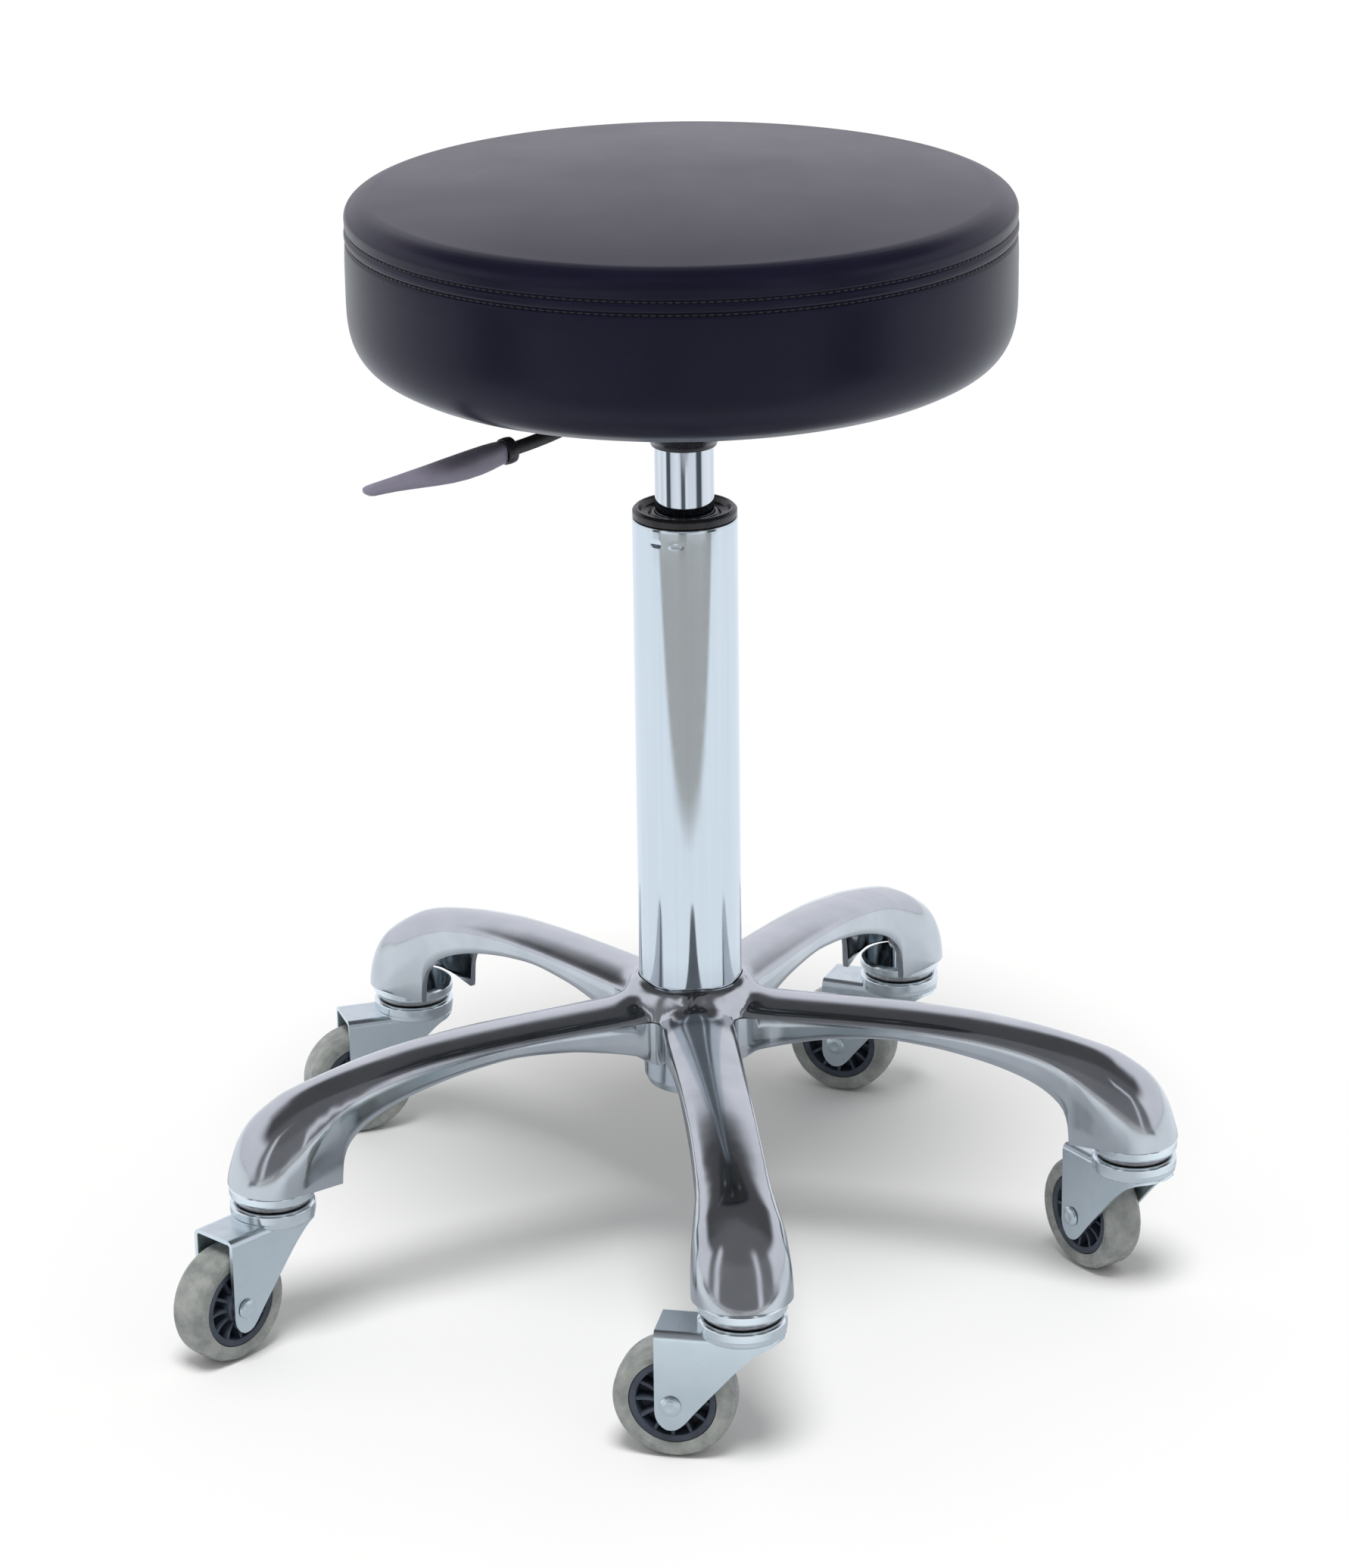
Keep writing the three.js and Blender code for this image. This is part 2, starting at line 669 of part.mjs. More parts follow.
function leverPath(end) {
  const route = [
    [-6, LEVER_INNER_HEIGHT],
    [10, LEVER_INNER_HEIGHT],
    [LEVER_PIVOT.reach, LEVER_PIVOT.height],
    [HOUSING.outer, 441.6],
    [60, 437.3],
    [76, 433.5],
    [HANDLE_START, 430.6],
    [end, 430.6 - 0.068 * (end - HANDLE_START)],
  ];
  return new THREE.CatmullRomCurve3(route.map(([x, z]) => new THREE.Vector3(x, 0, z)));
}

function rodAlong(curve, radius) {
  const section = new THREE.Shape();
  section.absarc(0, 0, radius, 0, 2 * Math.PI, false);
  return new THREE.ExtrudeGeometry(section, { steps: 11, curveSegments: 5, extrudePath: curve });
}

const acrossLever = (radius, length) =>
  new THREE.CylinderGeometry(radius, radius, length, 12).translate(LEVER_PIVOT.reach, 0, LEVER_PIVOT.height);

function leverRod() {
  const rod = toSolid(rodAlong(leverPath(HANDLE_START + 26), LEVER_RADIUS));
  const solid = rod.add(toSolid(acrossLever(5.5, 9))).subtract(toSolid(acrossLever(PIVOT_RADIUS + GAP, 20)));
  return piece('lever_rod', toGeometry(solid), FINISHES.paintedSteel);
}

function leverPivot() {
  const wall = HOUSING.halfWidth + GAP;
  const head = wall + 2.5;
  const profile = [
    [0, -head],
    [4.5, -head],
    [4.5, -wall],
    [PIVOT_RADIUS, -wall],
    [PIVOT_RADIUS, wall],
    [4.5, wall],
    [4.5, head],
    [0, head],
  ];
  const geometry = turnedAboutY(profile, 12).translate(LEVER_PIVOT.reach, 0, LEVER_PIVOT.height);
  return piece('lever_pivot', geometry, FINISHES.zinc);
}

// A collar, then a flat leaf that thins to a blunt tip: [along, half width, half thickness].
const HANDLE_STATIONS = [
  [0, 5.6, 5.6],
  [5, 5.6, 5.6],
  [6, 4.9, 4.8],
  [20, 6.4, 5],
  [38, 7.6, 4.7],
  [60, 6.8, 3.4],
  [74, 5.4, 2.5],
  [HANDLE_LENGTH, 3.4, 1.8],
];

function leverHandle() {
  const sides = 12;
  const stations = HANDLE_STATIONS.map(([along, half, thick]) => {
    const section = [];
    for (let i = 0; i < sides; i++) {
      const angle = (2 * Math.PI * i) / sides;
      section.push([half * Math.cos(angle), 430.6 - 0.068 * along + thick * Math.sin(angle)]);
    }
    return { x: HANDLE_START + along, section };
  });
  const socket = rodAlong(leverPath(HANDLE_START + 27), LEVER_RADIUS + GAP);
  return piece('lever_handle', toGeometry(toSolid(loft(stations)).subtract(toSolid(socket))), FINISHES.plastic);
}

// ---------------------------------------------------------------- assembly
function seatAndLever() {
  const group = new THREE.Group();
  group.rotation.z = radians(LEVER_HEADING_DEG);
  group.add(leverHousing(), leverPivot(), leverRod(), leverHandle(), seatPlate());
  group.add(seatBoard(), dustCover(), seatFoam(), seatCover());
  boltPlaces().forEach((place, i) => group.add(seatBolt(`seat_bolt_${i + 1}`, place)));
  return group;
}

const stool = new THREE.Group();
stool.add(starBase(), columnTube(), guideBush());
stool.add(pistonRod(), piston(), thrustBearing(), bumpStop(), retainingClip());
stool.add(gasCylinder(), releasePin(), socketCover());
for (let i = 0; i < ARM_COUNT; i++) stool.add(caster(i));
stool.add(seatAndLever());

// The five arms aren't symmetrical about the column in plan, so the column stands off the footprint's centre.
stool.position.set(-FOOTPRINT_CENTRE.x, -FOOTPRINT_CENTRE.y, 0);

export default stool;
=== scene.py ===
"""A rolling stylist stool: polished star base on casters, gas lift, round vinyl seat."""

import json
import math

import bmesh
import bpy
import numpy as np
from mathutils import Matrix, Vector
from mathutils.kdtree import KDTree


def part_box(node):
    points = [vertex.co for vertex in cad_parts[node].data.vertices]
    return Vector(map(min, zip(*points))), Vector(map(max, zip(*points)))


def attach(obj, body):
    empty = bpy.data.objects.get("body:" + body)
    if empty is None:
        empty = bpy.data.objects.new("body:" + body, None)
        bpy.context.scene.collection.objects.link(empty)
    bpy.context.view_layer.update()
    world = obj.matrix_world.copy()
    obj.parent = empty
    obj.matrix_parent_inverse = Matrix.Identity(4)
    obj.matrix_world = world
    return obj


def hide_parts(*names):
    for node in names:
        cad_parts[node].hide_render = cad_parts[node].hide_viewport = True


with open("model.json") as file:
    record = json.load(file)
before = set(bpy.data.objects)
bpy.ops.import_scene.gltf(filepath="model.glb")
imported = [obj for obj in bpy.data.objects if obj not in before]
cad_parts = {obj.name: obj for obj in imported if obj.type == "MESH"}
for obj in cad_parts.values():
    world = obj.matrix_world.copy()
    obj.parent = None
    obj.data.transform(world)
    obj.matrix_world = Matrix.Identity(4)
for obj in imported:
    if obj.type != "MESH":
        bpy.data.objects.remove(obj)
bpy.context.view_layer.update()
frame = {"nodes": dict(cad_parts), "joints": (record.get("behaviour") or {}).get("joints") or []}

MM = 0.001
LOW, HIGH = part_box("column_tube")
AXIS = Vector(((LOW[0] + HIGH[0]) / 2, (LOW[1] + HIGH[1]) / 2, 0))  # the column's axis
JOINTS = {j["name"]: j for j in frame["joints"]}
SWIVELS = [Vector(JOINTS[f"caster_swivel_{k}"]["pos_m"]) for k in range(1, 6)]
SPINS = [JOINTS[f"wheel_spin_{k}"] for k in range(1, 6)]
LEVER = JOINTS["release_lever"]
LEVER_TURN = math.atan2(-LEVER["axis"][0], LEVER["axis"][1]) + math.pi
ARM_TURNS = [math.atan2(s.y - AXIS.y, s.x - AXIS.x) for s in SWIVELS]


# ---------------------------------------------------------------- mesh helpers
def smooth(x):
    """A soft step from 0 to 1."""
    x = min(1.0, max(0.0, x))
    return x * x * (3 - 2 * x)


def finish_mesh(name, verts, faces, body, slot, material, replaces=(), sharp=40, place=None):
    """A shaded piece from vertices in millimetres, moved by place and riding on body."""
    mesh = bpy.data.meshes.new(name)
    mesh.from_pydata([Vector(v) * MM for v in verts], [], faces)
    bm = bmesh.new()
    bm.from_mesh(mesh)
    bmesh.ops.remove_doubles(bm, verts=bm.verts, dist=1e-6)
    bmesh.ops.recalc_face_normals(bm, faces=bm.faces)
    bm.to_mesh(mesh)
    bm.free()
    mesh.transform(place if place is not None else Matrix.Translation(AXIS))
    for p in mesh.polygons:
        p.use_smooth = True
    mesh.set_sharp_from_angle(angle=math.radians(sharp))
    obj = bpy.data.objects.new(name, mesh)
    bpy.context.scene.collection.objects.link(obj)
    mesh.materials.append(material)
    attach(obj, body)
    if replaces:
        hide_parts(*replaces)
    return obj


def fillet(points, steps=4, closed=False, hold=0.35):
    """Rounds the corners of an outline of (x, y, radius) points, with holding points beside each arc."""
    out = []
    n = len(points)
    for i, p in enumerate(points):
        a = np.array(p[:2], float)
        radius = p[2] if len(p) > 2 else 0
        if not radius or (not closed and i in (0, n - 1)):
            out.append(tuple(a))
            continue
        to_prev = np.array(points[i - 1][:2], float) - a
        to_next = np.array(points[(i + 1) % n][:2], float) - a
        lp, ln = np.linalg.norm(to_prev), np.linalg.norm(to_next)
        u, v = to_prev / lp, to_next / ln
        half = math.acos(max(-1, min(1, float(u @ v)))) / 2
        reach = min(radius / max(math.tan(half), 1e-3), 0.45 * lp, 0.45 * ln)
        if lp > 2.5 * (reach + hold):
            out.append(tuple(a + u * (reach + hold)))
        for s in range(steps + 1):
            t = s / steps
            start, end = (1 - t) ** 2 * (a + u * reach), t * t * (a + v * reach)
            out.append(tuple(start + 2 * t * (1 - t) * a + end))
        if ln > 2.5 * (reach + hold):
            out.append(tuple(a + v * (reach + hold)))
    return out


def turn(profile, segments=96, closed=False):
    """Vertices and faces of a (radius, height) profile turned about Z. It may start or end on the axis."""
    verts, rows = [], []
    for r, z in profile:
        if r < 1e-6:
            rows.append([len(verts)])
            verts.append((0, 0, z))
        else:
            rows.append(list(range(len(verts), len(verts) + segments)))
            for s in range(segments):
                a = 2 * math.pi * s / segments
                verts.append((r * math.cos(a), r * math.sin(a), z))
    faces = []
    pairs = list(zip(rows, rows[1:]))
    if closed:
        pairs.append((rows[-1], rows[0]))
    for low, high in pairs:
        for s in range(segments):
            e = (s + 1) % segments
            if len(low) == 1:
                faces.append((low[0], high[e], high[s]))
            elif len(high) == 1:
                faces.append((low[s], low[e], high[0]))
            else:
                faces.append((low[s], low[e], high[e], high[s]))
    return verts, faces


def turned_ring(outline, steps, segments, hold=0.35):
    """A closed outline with rounded corners, turned about Z."""
    return turn(fillet(outline, steps, closed=True, hold=hold), segments, closed=True)


def joined(*parts):
    """Several (vertices, faces) pairs as one."""
    verts, faces = [], []
    for v, f in parts:
        base = len(verts)
        verts += list(v)
        faces += [tuple(i + base for i in face) for face in f]
    return verts, faces


def moved(part, matrix):
    """A (vertices, faces) pair at another place."""
    return [tuple(matrix @ Vector(v)) for v in part[0]], part[1]


def strip(rows, closed=False):
    """Faces between rows of vertices of equal length."""
    verts = [tuple(p) for row in rows for p in row]
    n = len(rows[0])
    faces = []
    for r in range(len(rows) - 1):
        for i in range(n if closed else n - 1):
            j = (i + 1) % n
            faces.append((r * n + i, r * n + j, (r + 1) * n + j, (r + 1) * n + i))
    return verts, faces


def tube(rings):
    """Faces through rings of vertices, with a face over each end."""
    verts, faces = strip(rings, closed=True)
    sides = len(rings[0])
    last = len(verts) - 1
    return verts, faces + [tuple(range(sides)), tuple(range(last, last - sides, -1))]


def curve_points(points, count):
    """count points along a smooth curve through the given ones (Catmull-Rom)."""
    p = np.array(points, float)
    p = np.vstack([2 * p[0] - p[1], p, 2 * p[-1] - p[-2]])
    out = []
    for k in range(count):
        t = k / (count - 1) * (len(p) - 3)
        i = min(int(t), len(p) - 4)
        t -= i
        a, b, c, d = p[i : i + 4]
        square = 2 * b + (c - a) * t + (2 * a - 5 * b + 4 * c - d) * t**2
        out.append(0.5 * (square + (3 * b - a - 3 * c + d) * t**3))
    return np.array(out)


def between(table, x):
    """Monotone interpolation of a list of (x, y)."""
    xs, ys = zip(*table)
    xs, ys = np.array(xs, float), np.array(ys, float)
    if x <= xs[0]:
        return float(ys[0])
    if x >= xs[-1]:
        return float(ys[-1])
    h = np.diff(xs)
    d = np.diff(ys) / h
    m = np.zeros(len(xs))
    for i in range(1, len(xs) - 1):
        if d[i - 1] * d[i] > 0:
            w1, w2 = 2 * h[i] + h[i - 1], h[i] + 2 * h[i - 1]
            m[i] = (w1 + w2) / (w1 / d[i - 1] + w2 / d[i])
    m[0], m[-1] = d[0], d[-1]
    i = int(np.searchsorted(xs, x)) - 1
    t = (x - xs[i]) / h[i]
    return float(
        (2 * t**3 - 3 * t**2 + 1) * ys[i]
        + (t**3 - 2 * t**2 + t) * h[i] * m[i]
        + (-2 * t**3 + 3 * t**2) * ys[i + 1]
        + (t**3 - t**2) * h[i] * m[i + 1]
    )


# ---------------------------------------------------------------- materials
class Nodes:
    """A material's node tree, with a few short ways to add nodes."""

    def __init__(self, name, **constants):
        self.material = bpy.data.materials.new(name)
        self.material.use_nodes = True
        self.tree = self.material.node_tree
        self.shader = self.tree.nodes["Principled BSDF"]
        for key, value in constants.items():
            self.shader.inputs[key.replace("_", " ")].default_value = value
        self.coords = self.add("ShaderNodeTexCoord").outputs["Object"]

    def add(self, kind, inputs=(), **settings):
        node = self.tree.nodes.new(kind)
        for key, value in settings.items():
            setattr(node, key, value)
        for key, value in dict(inputs).items():
            self.put(node.inputs[key], value)
        return node

    def put(self, socket, value):
        if isinstance(value, bpy.types.NodeSocket):
            self.tree.links.new(value, socket)
        else:
            socket.default_value = value

    def stretch(self, scale):
        return self.add("ShaderNodeMapping", {"Vector": self.coords, "Scale": scale}).outputs["Vector"]

    def noise(self, scale, detail, vector=None):
        inputs = {"Vector": vector or self.coords, "Scale": scale, "Detail": detail, "Roughness": 0.55}
        return self.add("ShaderNodeTexNoise", inputs).outputs["Fac"]

    def cells(self, scale, feature="F1", vector=None):
        inputs = {"Vector": vector or self.coords, "Scale": scale}
        return self.add("ShaderNodeTexVoronoi", inputs, feature=feature).outputs["Distance"]

    def ramp(self, value, low, high, to_low=0.0, to_high=1.0):
        inputs = {"Value": value, "From Min": low, "From Max": high, "To Min": to_low, "To Max": to_high}
        return self.add("ShaderNodeMapRange", inputs).outputs["Result"]

    def math(self, operation, a, b=0.0):
        return self.add("ShaderNodeMath", {0: a, 1: b}, operation=operation).outputs[0]

    def mix(self, factor, a, b):
        node = self.add("ShaderNodeMix", data_type="RGBA")
        self.put(node.inputs["Factor"], factor)
        self.put(node.inputs["A"], (*a, 1) if isinstance(a, tuple) and len(a) == 3 else a)
        self.put(node.inputs["B"], (*b, 1) if isinstance(b, tuple) and len(b) == 3 else b)
        return node.outputs["Result"]

    def color(self, socket):
        self.put(self.shader.inputs["Base Color"], socket)
        return self

    def roughness(self, socket):
        self.put(self.shader.inputs["Roughness"], socket)
        return self

    def bump(self, height, strength, distance=0.0005):
        """A bump on top of any that is already there."""
        node = self.add("ShaderNodeBump", {"Height": height, "Strength": strength, "Distance": distance})
        below = self.shader.inputs["Normal"]
        if below.is_linked:
            self.put(node.inputs["Normal"], below.links[0].from_socket)
        self.put(below, node.outputs["Normal"])
        return self


def cast_aluminium():
    n = Nodes("polished_cast_aluminium", Metallic=1.0)
    cloud = n.noise(35, 4)
    n.color(n.mix(n.ramp(cloud, 0.3, 0.7), (0.49, 0.525, 0.55), (0.575, 0.605, 0.625)))
    n.roughness(n.ramp(n.noise(60, 5), 0.3, 0.75, 0.10, 0.2))
    n.bump(n.noise(28, 2), 0.12, 0.0006)
    n.bump(n.noise(900, 3), 0.05, 0.0001)
    return n.material


def chrome_tube():
    n = Nodes("chrome_plate", Metallic=1.0)
    streak = n.noise(420, 3, n.stretch((1, 1, 0.012)))
    n.color(n.mix(n.ramp(streak, 0.25, 0.8), (0.60, 0.67, 0.72), (0.66, 0.725, 0.76)))
    n.roughness(n.ramp(n.noise(90, 4), 0.3, 0.8, 0.05, 0.12))
    n.bump(streak, 0.03, 0.0001)
    return n.material


def chrome_rod():
    n = Nodes("ground_chrome", Metallic=1.0)
    rings = n.noise(60, 3, n.stretch((0.02, 0.02, 40)))
    streak = n.noise(300, 2, n.stretch((1, 1, 0.01)))
    n.color(n.mix(n.ramp(streak, 0.35, 0.65), (0.55, 0.60, 0.66), (0.74, 0.78, 0.82)))
    n.roughness(n.ramp(rings, 0.3, 0.8, 0.03, 0.08))
    n.bump(rings, 0.02, 0.00005)
    return n.material


def zinc_plate(name, low, high, roughness):
    n = Nodes(name, Metallic=1.0)
    n.color(n.mix(n.ramp(n.noise(90, 5), 0.25, 0.75), low, high))
    n.roughness(n.ramp(n.noise(200, 4), 0.3, 0.75, roughness, roughness + 0.09))
    n.bump(n.noise(350, 3), 0.03, 0.0002)
    return n.material


def bare_steel():
    n = Nodes("ground_steel", Metallic=1.0)
    n.color(n.mix(n.ramp(n.noise(160, 5), 0.3, 0.7), (0.30, 0.30, 0.30), (0.5, 0.51, 0.52)))
    n.roughness(n.ramp(n.noise(300, 4), 0.3, 0.7, 0.25, 0.5))
    n.bump(n.noise(600, 3, n.stretch((1, 1, 0.1))), 0.15, 0.0002)
    return n.material


def black_steel():
    n = Nodes("black_powder_coat", IOR=1.5)
    n.color(n.mix(n.ramp(n.noise(200, 5), 0.35, 0.7), (0.012, 0.012, 0.014), (0.028, 0.028, 0.031)))
    n.roughness(n.ramp(n.noise(500, 3), 0.3, 0.7, 0.38, 0.55))
    n.bump(n.noise(1400, 2), 0.25, 0.0002)
    return n.material


def black_plastic():
    n = Nodes("black_moulded_plastic", IOR=1.5)
    n.color(n.mix(n.ramp(n.noise(90, 5), 0.35, 0.7), (0.010, 0.010, 0.013), (0.024, 0.023, 0.028)))
    n.roughness(n.ramp(n.noise(350, 4), 0.3, 0.7, 0.2, 0.34))
    n.bump(n.cells(1500), 0.18, 0.0001)
    return n.material


def wheel_plastic():
    n = Nodes("dark_wheel_plastic", IOR=1.5)
    n.color(n.mix(n.ramp(n.noise(110, 5), 0.35, 0.7), (0.030, 0.040, 0.060), (0.060, 0.075, 0.10)))
    n.roughness(n.ramp(n.noise(400, 4), 0.3, 0.7, 0.35, 0.55))
    n.bump(n.noise(900, 3), 0.15, 0.0002)
    return n.material


def urethane():
    n = Nodes("grey_polyurethane", IOR=1.5, Subsurface_Weight=0.3, Subsurface_Scale=0.003)
    n.shader.inputs["Subsurface Radius"].default_value = (1.0, 1.0, 0.9)
    cloud = n.ramp(n.noise(130, 5), 0.35, 0.7)
    n.color(n.mix(cloud, (0.335, 0.35, 0.33), (0.2, 0.215, 0.21)))
    n.roughness(n.ramp(n.noise(300, 4), 0.3, 0.7, 0.2, 0.36))
    n.bump(n.noise(500, 4), 0.12, 0.0002)
    return n.material


def paddle_plastic_painted_lighter():
    # The paddle's mid grey is partly its own lighter plastic and partly painted light: the colour is raised
    # to make up for the shadow the seat casts on it.
    n = Nodes("grey_paddle_plastic_painted_lighter", IOR=1.5)
    n.color(n.mix(n.ramp(n.noise(90, 5), 0.35, 0.7), (0.2, 0.187, 0.245), (0.24, 0.225, 0.29)))
    n.roughness(n.ramp(n.noise(350, 4), 0.3, 0.7, 0.35, 0.5))
    n.bump(n.cells(1300), 0.15, 0.0001)
    return n.material


def rubber():
    n = Nodes("black_rubber", IOR=1.5)
    n.color(n.mix(n.ramp(n.noise(150, 4), 0.3, 0.7), (0.012, 0.012, 0.012), (0.03, 0.03, 0.03)))
    n.roughness(n.ramp(n.noise(300, 4), 0.3, 0.7, 0.65, 0.85))
    n.bump(n.noise(900, 3), 0.3, 0.0002)
    return n.material


def vinyl():
    n = Nodes("black_upholstery_vinyl", IOR=1.33, Specular_Tint=(0.8, 0.8, 1.0, 1.0))
    n.color(n.mix(n.ramp(n.noise(30, 4), 0.3, 0.7), (0.0060, 0.0057, 0.0155), (0.0076, 0.0072, 0.019)))
    n.roughness(n.ramp(n.noise(20, 3), 0.3, 0.7, 0.27, 0.31))
    wobble = n.add("ShaderNodeTexNoise", {"Vector": n.coords, "Scale": 300.0}).outputs["Color"]
    shift = n.add("ShaderNodeVectorMath", {0: wobble, "Scale": 0.0006}, operation="SCALE").outputs["Vector"]
    warped = n.add("ShaderNodeVectorMath", {0: n.coords, 1: shift}, operation="ADD").outputs["Vector"]
    grain = n.cells(900, "DISTANCE_TO_EDGE", warped)
    n.bump(n.ramp(grain, 0.0, 0.16), 0.06, 0.0002)
    n.bump(n.noise(2600, 2), 0.04, 0.0001)
    return n.material


def thread():
    n = Nodes("black_thread", IOR=1.45, Sheen_Weight=0.3, Sheen_Roughness=0.4)
    n.color(n.mix(n.noise(1500, 2), (0.015, 0.015, 0.02), (0.045, 0.045, 0.055)))
    n.roughness(n.ramp(n.noise(2000, 2), 0.3, 0.7, 0.5, 0.7))
    n.bump(n.noise(3500, 2, n.stretch((1, 1, 4))), 0.4, 0.0001)
    return n.material


def dust_cloth():
    n = Nodes("spun_bonded_cloth", IOR=1.4, Sheen_Weight=0.2, Sheen_Roughness=0.6)
    fibre = n.noise(900, 6, n.stretch((1, 3, 1)))
    dots = n.cells(420)
    n.color(n.mix(n.ramp(fibre, 0.35, 0.7), (0.008, 0.008, 0.009), (0.03, 0.03, 0.032)))
    n.roughness(n.ramp(fibre, 0.3, 0.7, 0.8, 0.95))
    n.bump(fibre, 0.4, 0.0002)
    n.bump(n.ramp(dots, 0.2, 0.4), 0.3, 0.0002)
    return n.material


def plywood():
    n = Nodes("raw_plywood", IOR=1.45)
    grain = n.noise(40, 6, n.stretch((1, 9, 9)))
    n.color(n.mix(n.ramp(grain, 0.3, 0.7), (0.50, 0.33, 0.17), (0.30, 0.18, 0.08)))
    n.roughness(n.ramp(grain, 0.3, 0.7, 0.6, 0.8))
    n.bump(grain, 0.3, 0.0003)
    return n.material


ALUMINIUM = cast_aluminium()
CHROME = chrome_tube()
ROD = chrome_rod()
ZINC = zinc_plate("bright_zinc_plate", (0.72, 0.82, 0.86), (0.79, 0.88, 0.9), 0.27)
POLISHED_ZINC = zinc_plate("polished_zinc_plate", (0.76, 0.84, 0.87), (0.82, 0.89, 0.91), 0.1)
# The lever paddle's material, painted lighter to make up for the seat's shadow.
LEVER_GREY_PAINTED_LIGHTER = paddle_plastic_painted_lighter()
STEEL = bare_steel()
BLACK_STEEL = black_steel()
PLASTIC = black_plastic()
WHEEL = wheel_plastic()
TREAD = urethane()
RUBBER = rubber()
VINYL = vinyl()
THREAD = thread()
CLOTH = dust_cloth()
PLYWOOD = plywood()


# ---------------------------------------------------------------- star base
STEM_REACH = 218.0  # from the column's axis to a caster's stem, where the arm's rounded nose begins
TIP_BOTTOM = 80.0
TIP_HALF = 23.3
TIP_OUT = 20.8
TIP_RISE = 34.8
WALL = 3.2
HUB_BORE = 25.4
HUB_LIP = 26.4
HUB_ROUND = 8.2
HUB_LOW = 112.0
HUB_RISE = 36.0
HALF_SECTOR = math.radians(36)
WEB = (27.6, 27.6 * math.tan(HALF_SECTOR))  # where two arms' sides meet

# Along the arm, by the distance from the column's axis: the crown's height, the lower edge's height, the half
# width, and how far the sides lie below the crown.
RIDGE = [
    (24, 140.2), (50, 139.8), (75, 139.4), (103, 138.6), (137, 136.4), (162, 133), (180, 129.6), (192, 126.6),
    (200, 124.2), (207, 121.4), (212, 118.6), (STEM_REACH, 114.8), (222, 112),
]
SKIRT = [
    (24, 113), (36, 117), (52, 121.5), (75, 125.6), (98, 127), (119, 125), (135, 122), (150, 118.2),
    (163, 113.7), (173, 108.9), (181, 103), (185.5, 97.5), (187.8, 90), (188.6, TIP_BOTTOM),
]
HALF_WIDTH = [
    (44, 17.4), (70, 16.7), (110, 16.0), (145, 15.9), (168, 16.3), (180, 16.9), (188, 17.9), (195, 19.4),
    (202, 21.1), (209, 22.5), (STEM_REACH, TIP_HALF),
]
SHOULDER = [
    (24, 6.5), (110, 5.6), (150, 6.2), (172, 7.6), (184, 10.5), (193, 15.5), (200, 22), (207, 28.5),
    (213, 33), (STEM_REACH, TIP_RISE),
]
# Across the arm, from 0 at the middle to 1 at the side: the height as a share of the shoulder's.
SECTION = [
    (0, 1), (0.15, 0.984), (0.3, 0.936), (0.45, 0.857), (0.6, 0.748), (0.7, 0.66), (0.78, 0.575),
    (0.84, 0.49), (0.89, 0.395), (0.93, 0.3), (0.96, 0.21), (0.985, 0.1), (1, 0),
]
TIP_SECTION = [
    (0, 1), (0.3, 0.974), (0.5, 0.925), (0.65, 0.862), (0.77, 0.776), (0.86, 0.667), (0.92, 0.546),
    (0.96, 0.41), (0.985, 0.23), (1, 0),
]
NOSE_LEAN = [
    (0, 0), (0.35, 0.145), (0.58, 0.246), (0.72, 0.355), (0.82, 0.46), (0.9, 0.61), (0.95, 0.72), (1, 0.8),
]
ACROSS = [0, 0.14, 0.28, 0.4, 0.5, 0.59, 0.67, 0.74, 0.8, 0.85, 0.89, 0.925, 0.95, 0.97, 0.984, 0.994, 1.0]


def arm_top(x, y, inset=0.0):
    """Height of the arm's upper surface. Past the caster's stem it is a bullet nose, leaning outwards."""
    if x > STEM_REACH:
        across, along = y / (TIP_HALF - inset), (x - STEM_REACH) / (TIP_OUT - inset)
        s = min(1.0, math.hypot(across, along))
        lean = between(NOSE_LEAN, s) * along / s if s > 1e-6 else 0.0
        return TIP_BOTTOM + (TIP_RISE - inset) * between(TIP_SECTION, s) * (1 - lean)
    ridge, depth = between(RIDGE, x) - inset, between(SHOULDER, x)
    tip = smooth((x - 175) / 40)
    across = min(1.0, abs(y) / (between(HALF_WIDTH, x) - inset))
    return ridge - depth * (1 - between(SECTION, across) * (1 - tip) - between(TIP_SECTION, across) * tip)


def hub_top(r):
    if r < HUB_LIP:
        return HUB_LOW + HUB_RISE
    return HUB_LOW + HUB_RISE * math.sqrt(max(0.0, 1 - ((r - HUB_LIP) / HUB_ROUND) ** 2))


def blend_high(a, b, k):
    """The higher of two surfaces, with a soft fillet of about k where they cross."""
    h = max(k - abs(a - b), 0.0) / k
    return max(a, b) + h * h * k / 4


def base_top(x, y):
    """Height of the casting: the arm, rising a little into the hub's collar."""
    r = math.hypot(x, y)
    arm = arm_top(x, y)
    if r > 60:
        return arm
    rise = 7.0 * math.exp(-(((r - 25) / 8.0) ** 2))
    return blend_high(arm + rise * (1 - smooth((abs(y) - 6) / 12)), hub_top(r), 6.0)


def nose_columns():
    for k in range(21):
        a = math.pi / 2 * k / 20
        yield (STEM_REACH, 0), (STEM_REACH + TIP_OUT * math.cos(a), TIP_HALF * math.sin(a)), TIP_BOTTOM


def side_columns():
    stops = list(np.linspace(217, 190, 22)) + [188.6, 188.2, 187.8, 186.9, 185.5, 183.5]
    stops += list(np.linspace(181, 146, 18)) + list(np.linspace(142, 46, 25))
    for x in stops:
        yield (x, 0), (x, between(HALF_WIDTH, x)), between(SKIRT, x)
    for k in range(1, 9):
        t = k / 8
        x = 44 - 7 * t
        yield (44 - (44 - HUB_BORE) * t, 0), (x, 17.2 + 0.25 * t * t), between(SKIRT, x)


